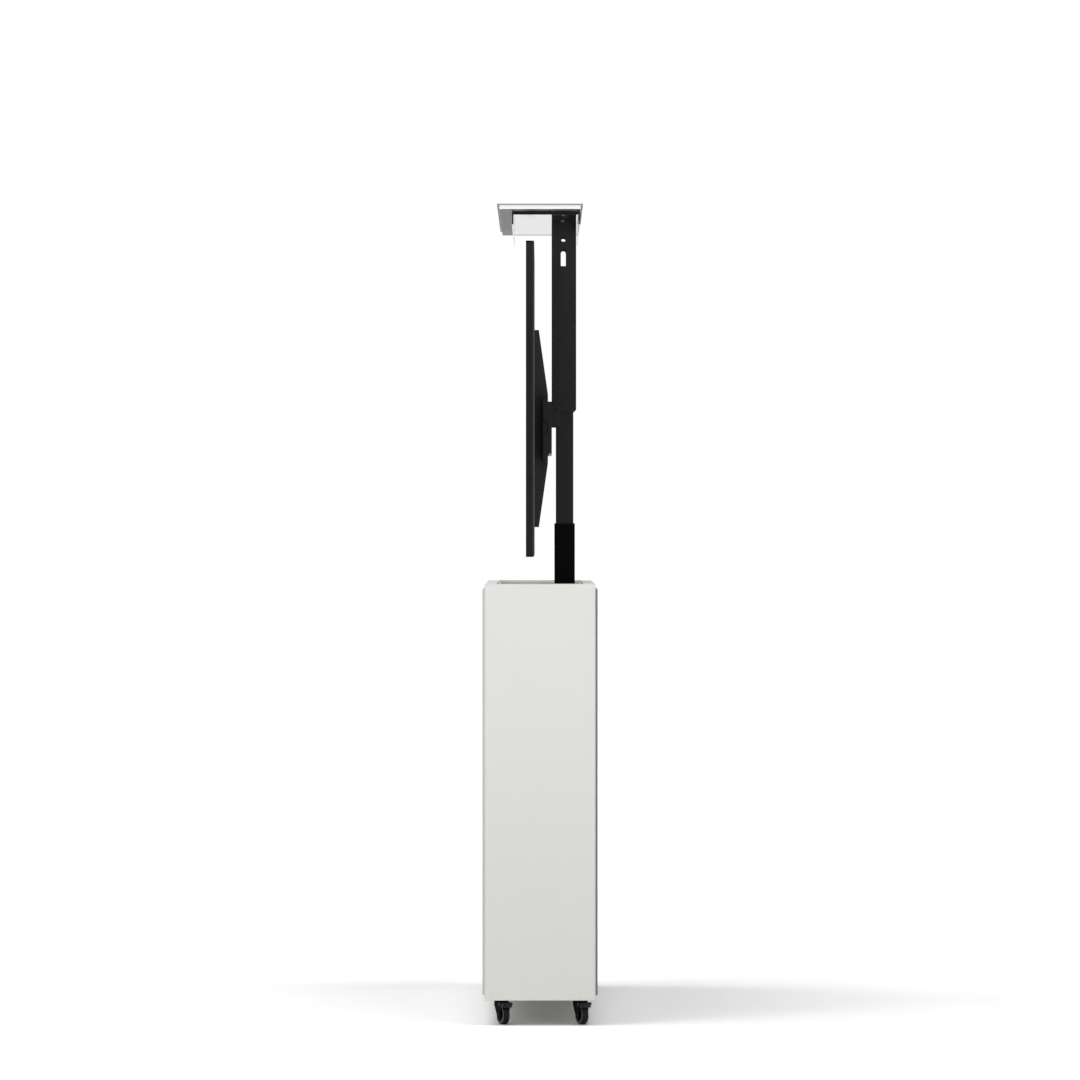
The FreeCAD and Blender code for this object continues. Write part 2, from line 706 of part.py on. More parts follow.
rail_front_y = "(carrier_front_y - rail_reach)"
rail_back_y = f"({rail_front_y} + rail_sheet)"
foot_y = "(carrier_front_y - rail_sheet)"
valley_top = f"({lid_under} - rail_valley_drop)"
valley_low = f"({valley_top} - rail_valley_high)"
valley_middle = f"({valley_top} - rail_valley_high / 2)"
lip_top = f"({valley_top} + rail_slope_high + rail_lip_high)"
rail_bottom = f"({valley_low} - rail_slope_high - rail_low_high)"
upper_rail = [
    (foot_y, f"{valley_middle} + rail_split / 2"),
    ("carrier_front_y", f"{valley_middle} + rail_split / 2"),
    ("carrier_front_y", valley_top),
    (rail_back_y, f"{valley_top} + rail_slope_high"),
    (rail_back_y, lip_top),
    (rail_front_y, lip_top),
    (rail_front_y, f"{valley_top} + rail_slope_high - rail_sheet / 2"),
    (foot_y, f"{valley_top} - rail_sheet / 2"),
]
node(prism("upper_hook_rail", "YZ", upper_rail, "carrier_width"))
lower_rail = [
    (foot_y, f"{valley_middle} - rail_split / 2"),
    ("carrier_front_y", f"{valley_middle} - rail_split / 2"),
    ("carrier_front_y", valley_low),
    (rail_back_y, f"{valley_low} - rail_slope_high"),
    (rail_back_y, f"{rail_bottom} + rail_sheet"),
    (foot_y, f"{rail_bottom} + rail_sheet"),
    (foot_y, rail_bottom),
    (rail_front_y, rail_bottom),
    (rail_front_y, f"{valley_low} - rail_slope_high + rail_sheet / 2"),
    (foot_y, f"{valley_low} + rail_sheet / 2"),
]
node(prism("lower_hook_rail", "YZ", lower_rail, "carrier_width"))

# Each cheek is an angle: one leg bolted inside the mounting plate, the other along the sleeve's side.
cheeks = []
for side, sign in (("right", ""), ("left", "-")):
    far_x = f"({sleeve_out_x} + cheek_sheet + cheek_flange)"
    near_x = f"({sleeve_out_x} + cheek_sheet)"
    cheek_corners = [
        (f"{sign}{sleeve_out_x}", carrier_inner_y),
        (f"{sign}{far_x}", carrier_inner_y),
        (f"{sign}{far_x}", f"{carrier_inner_y} + cheek_sheet"),
        (f"{sign}{near_x}", f"{carrier_inner_y} + cheek_sheet"),
        (f"{sign}{near_x}", f"{sleeve_front_y} + cheek_reach"),
        (f"{sign}{sleeve_out_x}", f"{sleeve_front_y} + cheek_reach"),
    ]
    angle = prism(f"cheek_{side}", "XY", cheek_corners, "cheek_height", False)
    limits = angle.Shape.BoundBox
    dress(angle, "Fillet", "Radius", "cheek_round",
          outer("x", lambda at: at.y > limits.YMax - 0.1 and at.z < limits.ZMin + 0.1))
    flange_holes = sketch_on(angle, "XZ")
    for level in flange_bolt_levels:
        ring_at(flange_holes, f"{sign}{flange_bolt_x}", f"{level} - {cheek_low}", "bolt_radius")
    pocket(angle, flange_holes, f"4 * {carrier_inner_y}", middle=True)
    web_hole = sketch_on(angle, "YZ")
    ring_at(web_hole, web_bolt_y, f"{web_bolt_z} - {cheek_low}", "bolt_radius")
    pocket(angle, web_hole, f"3 * {near_x}", middle=True)
    cheeks.append(move(angle, "0", "0", cheek_low))
node(join("mount_cheeks", cheeks, "Part::Compound"))

bolts = []
for n, (x, level) in enumerate(bolt_places, 1):
    head_y = f"({carrier_inner_y} + cheek_sheet)"
    shank = rod(f"flange_bolt_shank_{n}", "bolt_radius", "cheek_sheet + carrier_sheet",
                (x, "carrier_front_y", level), "y")
    head = rod(f"flange_bolt_head_{n}", "bolt_head_radius", "bolt_head_height", (x, head_y, level), "y")
    bolts.append(join(f"flange_bolt_{n}", [shank, head]))
for side, low_x, head_x in (("right", sleeve_in_x, f"{sleeve_out_x} + cheek_sheet"),
                            ("left", f"-{sleeve_out_x} - cheek_sheet",
                             f"-{sleeve_out_x} - cheek_sheet - bolt_head_height")):
    shank = rod(f"web_bolt_shank_{side}", "bolt_radius", "sleeve_wall + cheek_sheet",
                (low_x, web_bolt_y, web_bolt_z), "x")
    head = rod(f"web_bolt_head_{side}", "bolt_head_radius", "bolt_head_height",
               (head_x, web_bolt_y, web_bolt_z), "x")
    bolts.append(join(f"web_bolt_{side}", [shank, head]))
spacer_screw_long = f"({sleeve_out_x} - inner_tube_width / 2 + tube_wall)"
for side, low_x in (("right", "inner_tube_width / 2 - tube_wall"), ("left", f"-{sleeve_out_x}")):
    for n, level in enumerate(spacer_levels, 1):
        bolts.append(rod(f"spacer_screw_{side}_{n}", "spacer_screw_radius", spacer_screw_long,
                         (low_x, "column_y", f"{tray_under} - {level}"), "x"))
node(join("head_bolts", bolts, "Part::Compound"))

# ---- hook arms on the back of the screen ----------------------------------------------------------
arm_top = f"({lid_under} - arm_top_drop)"
arm_low = f"({arm_top} - arm_height)"
arm_rear_y = "(carrier_front_y - arm_fit)"
arm_corners = [
    ("screen_back_y", arm_low),
    ("screen_back_y", arm_top),
    ("screen_back_y + arm_end_depth", arm_top),
    (arm_rear_y, f"{lid_under} - arm_flat_top_drop"),
    (arm_rear_y, f"{valley_top} + arm_tooth_gap"),
    (f"{rail_back_y} + arm_fit", f"{valley_top} + rail_slope_high + arm_tooth_gap"),
    (f"{rail_back_y} + arm_fit", f"{lip_top} + arm_fit"),
    (f"{rail_front_y} - arm_fit", f"{lip_top} + arm_fit"),
    (f"{rail_front_y} - arm_fit", f"{rail_bottom} - arm_fit"),
    (arm_rear_y, f"{rail_bottom} - arm_fit"),
    ("screen_back_y + arm_end_depth", arm_low),
]
screw_high = f"({lid_under} - screen_screw_drop)"
screw_levels = [screw_high, f"({screw_high} - screen_screw_pitch)"]
arm_places = [("right", "arm_pitch / 2"), ("left", "-arm_pitch / 2")]
for side, x in arm_places:
    arm = prism(f"hook_arm_{side}", "YZ", arm_corners, "arm_width")
    channel = sketch_on(arm, "XY")
    outline(channel, oblong("-arm_width / 2 + arm_sheet", "screen_back_y + arm_sheet",
                            "arm_width / 2 - arm_sheet", "2 * carrier_front_y"))
    pocket(arm, channel, f"2 * {lid_top}", middle=True)
    arm_holes = sketch_on(arm, "XZ")
    for level in screw_levels:
        ring_at(arm_holes, "0", level, "screen_screw_radius")
    pocket(arm, arm_holes, "4 * carrier_front_y", middle=True)
    node(move(arm, x, "0", "0"))
screen_screws = []
for side, x in arm_places:
    for n, level in enumerate(screw_levels, 1):
        shank = rod(f"screen_screw_shank_{side}_{n}", "screen_screw_radius",
                    "screen_screw_bite + arm_sheet", (x, "screen_back_y - screen_screw_bite", level), "y")
        head = rod(f"screen_screw_head_{side}_{n}", "screen_screw_head", "screen_screw_head_height",
                   (x, "screen_back_y + arm_sheet", level), "y")
        screen_screws.append(join(f"screen_screw_{side}_{n}", [shank, head]))
node(join("screen_screws", screen_screws, "Part::Compound"))

# ---- screen ---------------------------------------------------------------------------------------
screen_top = f"({lid_under} - screen_drop)"
screen_low = f"({screen_top} - screen_height)"
screen_front_y = "(screen_back_y - screen_depth)"
cover_depth = "(screen_depth - bezel_depth)"
cover = prism("screen_back_cover", "XZ",
              oblong("-screen_width / 2", screen_low, "screen_width / 2", screen_top), cover_depth, False)
cover_back = cover.Shape.BoundBox.YMax
dress(cover, "Fillet", "Radius", "cover_round", along("y"))
cover_hollow = sketch_on(cover, "XZ")
outline(cover_hollow, oblong("-screen_width / 2 + cover_wall", f"{screen_low} + cover_wall",
                             "screen_width / 2 - cover_wall", f"{screen_top} - cover_wall"))
bind(cover_hollow, ".AttachmentOffset.Base.z", "cover_wall")
pocket(cover, cover_hollow, cover_depth, back=True)
cover_holes = sketch_on(cover, "XZ")
for side, x in arm_places:
    for level in screw_levels:
        ring_at(cover_holes, x, level, "screen_screw_radius")
pocket(cover, cover_holes, cover_depth, back=True)
node(move(cover, "0", "screen_back_y", "0"))

bezel_blank = box("bezel_blank", ("screen_width", "bezel_depth", "screen_height"),
                  ("-screen_width / 2", screen_front_y, screen_low))
bezel_window = box("bezel_window", ("screen_width - 2 * bezel_width", "bezel_depth",
                                    "screen_height - 2 * bezel_width"),
                   ("-screen_width / 2 + bezel_width", screen_front_y, f"{screen_low} + bezel_width"))
node(cut("screen_bezel", bezel_blank, [bezel_window]))
node(box("screen_glass", ("screen_width - 2 * bezel_width - 2 * screen_gap", "glass_thick",
                          "screen_height - 2 * bezel_width - 2 * screen_gap"),
         ("-screen_width / 2 + bezel_width + screen_gap", f"{screen_front_y} + glass_recess",
          f"{screen_low} + bezel_width + screen_gap")))

# ---- castors --------------------------------------------------------------------------------------
# A castor is drawn with its king pin on Z and its wheel trailing towards +X, then turned and placed.
head_z = "(castor_height - flange_thick - flange_gap)"
slot_half = "(wheel_width / 2 + wheel_side_gap)"
housing_half = f"({slot_half} + cheek_thick)"
pedal_pin_z = "(castor_height - pedal_pin_drop)"
castor_places = [
    ("front_right", castor_x, f"-{castor_y}"),
    ("rear_right", castor_x, castor_y),
    ("front_left", f"-{castor_x}", f"-{castor_y}"),
    ("rear_left", f"-{castor_x}", castor_y),
]


def set_castor(body, x, y):
    """Turn a castor piece about its king pin and bring it to its corner."""
    turn(body, (0, 0, 1), 1)
    bind(body, ".Placement.Rotation.Angle", "castor_turn")
    return node(move(body, x, y, "0"))


def castor_housing(name):
    profile = [
        ("-hood_back", head_z),
        ("hood_crown", head_z),
        ("hood_front", f"{head_z} - hood_slope"),
        ("hood_front + 1", f"{head_z} - hood_slope - hood_nose"),
        ("wheel_trail + cheek_foot", "wheel_radius - cheek_foot"),
        ("wheel_trail - cheek_foot", "wheel_radius - cheek_foot"),
        ("-hood_back", f"{head_z} - hood_slope - hood_nose"),
    ]
    body = prism(name, "XZ", profile, f"2 * {housing_half}")
    head = sketch_on(body, "XY")
    bind(head, ".AttachmentOffset.Base.z", f"{head_z} - head_thick")
    ring_at(head, "0", "0", "head_radius")
    pad(body, head, "head_thick")
    well = sketch_on(body, "XZ")
    ring_at(well, "wheel_trail", "wheel_radius", "wheel_radius + wheel_top_gap")
    pocket(body, well, f"2 * {slot_half}", middle=True)
    pins = sketch_on(body, "XZ")
    ring_at(pins, "wheel_trail", "wheel_radius", "axle_radius + axle_fit")
    ring_at(pins, "pedal_pin_u", pedal_pin_z, "pedal_pin_radius + axle_fit")
    pocket(body, pins, f"3 * {housing_half}", middle=True)
    bore = sketch_on(body, "XY")
    bind(bore, ".AttachmentOffset.Base.z", head_z)
    ring_at(bore, "0", "0", "pin_radius + axle_fit")
    pocket(body, bore, "pin_length + flange_gap")
    return body


def castor_wheel(name):
    side = "wheel_width / 2"
    half = [
        ("axle_radius + axle_fit", f"({side} + hub_proud)"),
        ("hub_radius", f"({side} + hub_proud)"),
        ("hub_radius", f"({side} - web_depth)"),
        ("wheel_radius - rim_depth", f"({side} - web_depth)"),
        ("wheel_radius - rim_depth", f"({side})"),
        ("wheel_radius - wheel_shoulder", f"({side})"),
        ("wheel_radius", f"({side} - wheel_shoulder)"),
    ]
    body = new_body(name)
    sketch = sketch_on(body, "XY")
    bind(sketch, ".AttachmentOffset.Base.x", "wheel_trail")
    bind(sketch, ".AttachmentOffset.Base.z", "wheel_radius")
    outline(sketch, half + [(x, f"-{y}") for x, y in reversed(half)])
    wheel = body.newObject("PartDesign::Revolution", f"{name}_turned")
    wheel.Profile = sketch
    wheel.ReferenceAxis = (sketch, ["V_Axis"])
    wheel.Angle = 360
    doc.recompute()
    return body


def castor_axle(name):
    body = new_body(name)
    sketch = sketch_on(body, "XZ")
    ring_at(sketch, "wheel_trail", "wheel_radius", "axle_radius")
    pad(body, sketch, f"2 * ({housing_half} + axle_proud)", middle=True)
    return body


def castor_pedal(name):
    arm_back = "pedal_pin_u - 1.4 * pedal_pin_radius"
    root = "(hood_front + 1 + pedal_front_gap)"
    tip = f"({root} + pedal_reach)"
    profile = [
        (arm_back, f"{pedal_pin_z} - 1.4 * pedal_pin_radius"),
        (arm_back, f"{pedal_pin_z} + 1.4 * pedal_pin_radius"),
        (root, f"{pedal_pin_z} + 2 * pedal_pin_radius"),
        (f"{tip} - pedal_lip", f"{head_z} - 0.4"),
        (tip, f"{head_z} - pedal_lip"),
        (f"{tip} - pedal_lip", f"{head_z} - 2 * pedal_lip"),
        (f"{root} + 2 * pedal_lip", f"{pedal_pin_z} - 2 * pedal_pin_radius"),
        (root, f"{pedal_pin_z} - 2 * pedal_pin_radius"),
    ]
    pedal_half = f"({housing_half} + pedal_side_gap + pedal_arm)"
    body = prism(name, "XZ", profile, f"2 * {pedal_half}")
    gap = sketch_on(body, "XZ")
    outline(gap, oblong("0", "wheel_radius", root, head_z))
    pocket(body, gap, f"2 * ({housing_half} + pedal_side_gap)", middle=True)
    pins = sketch_on(body, "XZ")
    ring_at(pins, "pedal_pin_u", pedal_pin_z, "pedal_pin_radius")
    pad(body, pins, f"2 * {pedal_half}", middle=True)
    clear = sketch_on(body, "XZ")
    ring_at(clear, "pedal_pin_u", pedal_pin_z, "1.2 * pedal_pin_radius")
    pocket(body, clear, f"2 * ({slot_half} + 0.2 * cheek_thick)", middle=True)
    return body


stems = []
for place, x, y in castor_places:
    set_castor(castor_housing(f"castor_housing_{place}"), x, y)
    set_castor(castor_wheel(f"castor_wheel_{place}"), x, y)
    set_castor(castor_axle(f"castor_axle_{place}"), x, y)
    set_castor(castor_pedal(f"brake_pedal_{place}"), x, y)
    stems.append(join(f"castor_stem_{place}", [
        rod(f"stem_pin_{place}", "pin_radius", "pin_length", (x, y, f"{head_z} + flange_gap - pin_length")),
        rod(f"stem_flange_{place}", "flange_radius", "flange_thick", (x, y, f"{head_z} + flange_gap")),
        rod(f"stem_thread_{place}", "stem_radius", "stem_length", (x, y, "castor_height")),
    ]))
node(join("castor_stems", stems, "Part::Compound"))

# ---- check and write ------------------------------------------------------------------------------
doc.recompute()
failed = [thing.Name for thing in doc.Objects if {"Invalid", "Error"} & set(thing.State)]
if failed:
    raise RuntimeError(f"failed objects: {failed}")
for thing in nodes:
    if thing.Shape.isNull() or not thing.Shape.isValid():
        raise RuntimeError(f"{thing.Label} has no valid shape")

os.makedirs("parts", exist_ok=True)
for thing in nodes:
    thing.Shape.exportStep(f"parts/{thing.Label}.step")
print(f"{len(nodes)} pieces written")
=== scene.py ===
"""Dresses the lift cabinet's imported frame: finished pieces, materials, floor, lights and camera."""

import json
import math

import bmesh
import bpy
from bpy.props import FloatProperty, FloatVectorProperty, IntProperty, PointerProperty
from mathutils import Matrix, Vector

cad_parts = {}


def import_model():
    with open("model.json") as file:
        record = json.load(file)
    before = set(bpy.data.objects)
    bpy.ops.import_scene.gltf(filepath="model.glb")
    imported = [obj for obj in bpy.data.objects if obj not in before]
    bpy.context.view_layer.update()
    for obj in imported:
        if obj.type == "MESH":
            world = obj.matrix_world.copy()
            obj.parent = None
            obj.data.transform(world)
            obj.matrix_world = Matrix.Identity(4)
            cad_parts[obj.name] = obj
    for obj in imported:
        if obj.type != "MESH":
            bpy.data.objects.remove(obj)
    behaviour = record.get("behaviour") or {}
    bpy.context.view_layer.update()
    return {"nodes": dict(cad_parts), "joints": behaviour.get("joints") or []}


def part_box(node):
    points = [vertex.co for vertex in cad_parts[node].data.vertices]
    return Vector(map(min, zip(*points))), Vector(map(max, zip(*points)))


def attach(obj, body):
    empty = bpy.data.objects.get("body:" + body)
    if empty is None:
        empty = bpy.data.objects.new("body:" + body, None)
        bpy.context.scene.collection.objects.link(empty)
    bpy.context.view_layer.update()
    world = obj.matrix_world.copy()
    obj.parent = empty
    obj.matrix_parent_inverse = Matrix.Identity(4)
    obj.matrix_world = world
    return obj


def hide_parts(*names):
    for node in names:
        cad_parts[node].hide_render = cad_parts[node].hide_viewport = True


bl_info = {
    "name": "Lift Cabinet",
    "version": (1, 0, 0),
    "blender": (4, 5, 0),
    "location": "View3D > Sidebar > Lift Cabinet",
    "description": "Finished pieces, materials and studio for a cabinet whose lid lifts a screen",
    "category": "Object",
}

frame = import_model()

MM = 0.001
JOINTS = {joint["name"]: joint for joint in frame["joints"]}
PLACES = ("front_right", "rear_right", "front_left", "rear_left")
SIDES = ("right", "left")

# Each matrix lays a drawing's two axes and its thickness along the frame's axes.
FLAT = Matrix.Identity(4)
FACING_X = Matrix(((0, 0, 1, 0), (1, 0, 0, 0), (0, 1, 0, 0), (0, 0, 0, 1)))
FACING_Y = Matrix(((1, 0, 0, 0), (0, 0, 1, 0), (0, 1, 0, 0), (0, 0, 0, 1)))
ALONG, BACK, UP = Vector((1, 0, 0)), Vector((0, 1, 0)), Vector((0, 0, 1))


# ---- settings ----
def length(default, name, text):
    """A size in the panel, given here in millimetres."""
    return FloatProperty(name=name, description=text, default=default * MM, min=0, unit="LENGTH")


def number(default, name, text, high=1.0):
    return FloatProperty(name=name, description=text, default=default, min=0, max=high)


def colour(default, name, text):
    return FloatVectorProperty(name=name, description=text, default=default, size=3, min=0, max=1,
                               subtype="COLOR")


class CabinetSettings(bpy.types.PropertyGroup):
    band: length(1, "Edge band", "Thickness of the band glued round each board")
    arris: length(0.8, "Arris", "Rounding of the boards' outer edges")
    facing_round: length(5, "Facing round", "Rounding of the facing panels' upright ends")
    laminate: colour((0.79, 0.8, 0.765), "Laminate", "The cabinet's white")
    front_edge: colour((0.56, 0.565, 0.545), "Front facing edge", "Cut edge of the front facing")
    # Much darker than the front facing's edge: painted shade on the rear facing's cut ends, on the side
    # turned from the stronger light.
    rear_edge: colour((0.2, 0.2, 0.195), "Rear facing edge", "Cut edge of the rear facing")
    timber: colour((0.66, 0.5, 0.32), "Timber", "Corner cleats")


class LiftSettings(bpy.types.PropertyGroup):
    thread_pitch: length(8, "Thread pitch", "Rise of a lead screw's thread in one turn")
    thread_depth: length(1.6, "Thread depth", "Depth of a lead screw's thread")
    sheet_edge: length(0.4, "Sheet edge", "Rounding of cut sheet metal")
    coat: colour((0.0265, 0.0265, 0.027), "Powder coat", "Black coat of the column and the screen carrier")
    # Near black, darker than the column's coat: painted shade on the middle tube, on the tray's end faces and
    # in the end plates' grooves.
    dark_coat: colour((0.004, 0.004, 0.0043), "Dark coat", "Black coat of the middle tube and of inner faces")
    # Lighter than the column's coat: painted light on the hook arms, which stand in shade between the cover
    # and the rail ends.
    arm_coat: colour((0.045, 0.045, 0.0455), "Hook arms", "Black coat of the screen's hook arms")
    gloss: colour((0.006, 0.006, 0.0065), "Tray coat", "Smooth black coat of the tray")
    # Darker than the front facing's grey edge: painted shade on the lid plate's edge, set against the lamp
    # that faces the lid.
    plate_edge: colour((0.31, 0.31, 0.3), "Lid edge", "Cut edge of the lid's top plate")
    # Near black under a white board: painted shade on the lid's underside.
    backing: colour((0.04, 0.04, 0.04), "Lid backing", "Underside of the lid")
    # Whiter than the cabinet's laminate: painted light on the lid board's sides under the plate's overhang
    # and on the end ledges inside the opening.
    lid: colour((0.95, 0.95, 0.93), "Lid board", "Sides of the lid's board, and the end ledges")


class ScreenSettings(bpy.types.PropertyGroup):
    corner: length(6, "Corner", "Rounding of the screen's corners")
    rear_round: length(4.4, "Rear round", "Rounding of the back cover's rear edge")
    vent_count: IntProperty(name="Vents", description="Slots in each block of vents", default=22, min=1)
    vent_pitch: length(12, "Vent pitch", "Distance from one vent to the next")
    shell: colour((0.0105, 0.0105, 0.011), "Shell", "Back cover and bezel")
    # Lighter than the shell: a painted highlight along the back cover's rounded rear edge.
    shell_edge: colour((0.027, 0.027, 0.0275), "Shell edge", "Rounded rear edge of the back cover")
    glass: colour((0.004, 0.004, 0.005), "Panel", "The screen, switched off")


class CastorSettings(bpy.types.PropertyGroup):
    tread_round: length(3.2, "Tread round", "Rounding of a wheel's shoulders")
    hood_round: length(0.9, "Hood round", "Rounding of a castor hood's edges")
    plastic: colour((0.0045, 0.0045, 0.005), "Plastic", "Moulded plastic")
    rubber: colour((0.016, 0.016, 0.0165), "Tread", "Rubber of the wheels")
    side: colour((0.085, 0.085, 0.087), "Wheel side", "Side of the wheels' tyres")
    pedal: colour((0.03, 0.03, 0.031), "Pedal", "Brake pedals")


class StudioSettings(bpy.types.PropertyGroup):
    distance: length(18580, "Distance", "From the camera to the cabinet's middle")
    eye_height: length(1268.5, "Eye height", "Height of the camera")
    lens: number(227.0, "Lens", "Focal length in millimetres", 1000)
    floor_half: length(70000, "Floor", "Half the side of the floor")
    floor_seen: number(1.0, "Floor seen", "White of the floor, as it is looked at")
    floor_bounce: number(0.8, "Floor bounce", "White of the floor, as it lights the cabinet")
    ambient: number(0.22, "Ambient", "Light from all round")
    softboxes: number(0.83, "Softboxes", "Light of all the far lamps on the floor, 1 for white", 5)
    end_fill: number(6.4, "End fill", "Low softbox that faces the cabinet's end, in watts", 500)
    lid_fill: number(1.75, "Lid fill", "Small softbox that faces the lid's end, in watts", 500)


class LiftCabinetSettings(bpy.types.PropertyGroup):
    cabinet: PointerProperty(type=CabinetSettings)
    lift: PointerProperty(type=LiftSettings)
    screen: PointerProperty(type=ScreenSettings)
    castor: PointerProperty(type=CastorSettings)
    studio: PointerProperty(type=StudioSettings)


def settings(group):
    return getattr(bpy.context.scene.lift_cabinet, group)


# ---- shared surface effects ----
# Each effect's inputs with their defaults, then the noise behind each of its outputs, in which a word
# is the input that a value comes from. A Vector stretches the noise.
EFFECTS = {
    # Fine streaks drawn out along one axis, with slow clouds across them and a fine speckle.
    "Grain": ({"Stretch": (1, 1, 1), "Clouds": 6.0},
              {"Streak": {"Vector": "Stretch", "Scale": 1.0, "Detail": 5.0, "Roughness": 0.65},
               "Cloud": {"Scale": "Clouds", "Detail": 2.0},
               "Speck": {"Scale": 420.0, "Detail": 2.0}}),
    # The pebbled skin of sprayed or moulded surfaces, with patches where it is smoother.
    "Peel": ({"Scale": 700.0, "Patch": 14.0},
             {"Height": {"Scale": "Scale", "Detail": 2.0},
              "Patches": {"Scale": "Patch", "Detail": 3.0}}),
}


def add(tree, kind, **values):
    """A node with some of its inputs set or linked, and its own options given in lower case."""
    made = tree.nodes.new(kind)
    for label, value in values.items():
        if label.islower():
            setattr(made, label, value)
            continue
        socket = made.inputs[label.replace("_", " ")]
        if isinstance(value, bpy.types.NodeSocket):
            tree.links.new(value, socket)
        else:
            socket.default_value = value
    return made


def effect(name):
    """The node group of a shared effect."""
    inputs, outputs = EFFECTS[name]
    group = bpy.data.node_groups.new(name, "ShaderNodeTree")
    for label, default in inputs.items():
        kind = "NodeSocketVector" if isinstance(default, tuple) else "NodeSocketFloat"
        group.interface.new_socket(label, in_out="INPUT", socket_type=kind).default_value = default
    for label in outputs:
        group.interface.new_socket(label, in_out="OUTPUT", socket_type="NodeSocketFloat")
    start, end = group.nodes.new("NodeGroupInput"), group.nodes.new("NodeGroupOutput")
    place = add(group, "ShaderNodeTexCoord").outputs["Object"]
    for label, values in outputs.items():
        given = {key: start.outputs[value] if isinstance(value, str) else value
                 for key, value in values.items()}
        drawn = place
        if "Vector" in given:
            stretch = add(group, "ShaderNodeVectorMath", operation="MULTIPLY")
            group.links.new(place, stretch.inputs[0])
            group.links.new(given["Vector"], stretch.inputs[1])
            drawn = stretch.outputs[0]
        noise = add(group, "ShaderNodeTexNoise", **{**given, "Vector": drawn})
        group.links.new(noise.outputs["Fac"], end.inputs[label])
    return group


def use(tree, name, **values):
    """Places a shared effect in a material and returns its outputs."""
    made = tree.nodes.new("ShaderNodeGroup")
    made.node_tree = bpy.data.node_groups.get(name) or effect(name)
    for label, value in values.items():
        made.inputs[label].default_value = value
    return made.outputs


# ---- materials ----
def cleared(owner):
    """The emptied node tree of a material or a world."""
    owner.use_nodes = True
    owner.node_tree.nodes.clear()
    return owner.node_tree


def remap(tree, value, low, high):
    """A 0 to 1 value between two others."""
    return add(tree, "ShaderNodeMapRange", Value=value, To_Min=low, To_Max=high).outputs[0]


def mixed(tree, mask, low, high):
    """The node that goes from one colour to another by a mask."""
    mix = add(tree, "ShaderNodeMix", data_type="RGBA")
    for socket, tone in ((6, low), (7, high)):
        mix.inputs[socket].default_value = (*tone, 1)
    tree.links.new(mask, mix.inputs[0])
    return mix.outputs[2]


def surface(**constants):
    """A material with one Principled shader and its constant values."""
    look = bpy.data.materials.new("look")
    tree = cleared(look)
    shader = add(tree, "ShaderNodeBsdfPrincipled", **constants)
    add(tree, "ShaderNodeOutputMaterial", Surface=shader.outputs[0])
    return look, tree, shader


def vary(tree, shader, tone, change, tint, rough, wear):
    """Lets one mask turn the tone a little darker and lighter, and another set the roughness."""
    low, high = ([min(1, channel * share) for channel in tone] for share in (1 - change, 1 + change))
    tree.links.new(mixed(tree, tint, low, high), shader.inputs["Base Color"])
    tree.links.new(remap(tree, wear, *rough), shader.inputs["Roughness"])


def bumped(tree, shader, height, strength, distance):
    bump = add(tree, "ShaderNodeBump", Strength=strength, Distance=distance, Height=height)
    tree.links.new(bump.outputs[0], shader.inputs["Normal"])


def laminate(tone, stretch, rough=0.42, change=0.045, specular=0.22):
    """White printed laminate with a faint grain and a fine speckle."""
    look, tree, shader = surface(Specular_IOR_Level=specular)
    grain = use(tree, "Grain", Stretch=stretch, Clouds=3.0)
    both = add(tree, "ShaderNodeMix", data_type="FLOAT", Factor=0.4, A=grain["Streak"], B=grain["Speck"])
    vary(tree, shader, tone, change, both.outputs[0], (rough - 0.06, rough + 0.06), grain["Cloud"])
    bumped(tree, shader, grain["Streak"], 0.10, 0.0002)
    return look


def coated(tone, rough, specular, scale=700.0, bump=0.12, metallic=0.0):
    """Sprayed or moulded surface with a pebbled skin."""
    look, tree, shader = surface(Specular_IOR_Level=specular, Metallic=metallic)
    skin = use(tree, "Peel", Scale=scale)
    vary(tree, shader, tone, 0.10, skin["Patches"], (rough - 0.05, rough + 0.05), skin["Patches"])
    bumped(tree, shader, skin["Height"], bump, 0.0003)
    return look


def metal(tone, rough, stretch):
    """Bare metal with fine drawing or turning lines."""
    look, tree, shader = surface(Metallic=1.0)
    lines = use(tree, "Grain", Stretch=stretch, Clouds=20.0)
    vary(tree, shader, tone, 0.08, lines["Cloud"], (rough - 0.08, rough + 0.10), lines["Streak"])
    bumped(tree, shader, lines["Streak"], 0.15, 0.0001)
    return look


def timber(tone):
    """Planed wood with its grain upright."""
    look, tree, shader = surface()
    grain = use(tree, "Grain", Stretch=(160, 160, 4), Clouds=8.0)
    vary(tree, shader, tone, 0.35, grain["Streak"], (0.55, 0.8), grain["Cloud"])
    bumped(tree, shader, grain["Streak"], 0.3, 0.0004)
    return look


def glass(tone):
    """The dark, smooth face of a screen that is off."""
    look, tree, shader = surface(Specular_IOR_Level=0.14, Coat_Weight=0.12, Coat_Roughness=0.03)
    skin = use(tree, "Peel", Scale=2400.0, Patch=3.0)
    vary(tree, shader, tone, 0.2, skin["Patches"], (0.10, 0.16), skin["Patches"])
    return look


GRAIN_UP = (150, 150, 1.6)
GRAIN_ACROSS = (1.6, 150, 150)

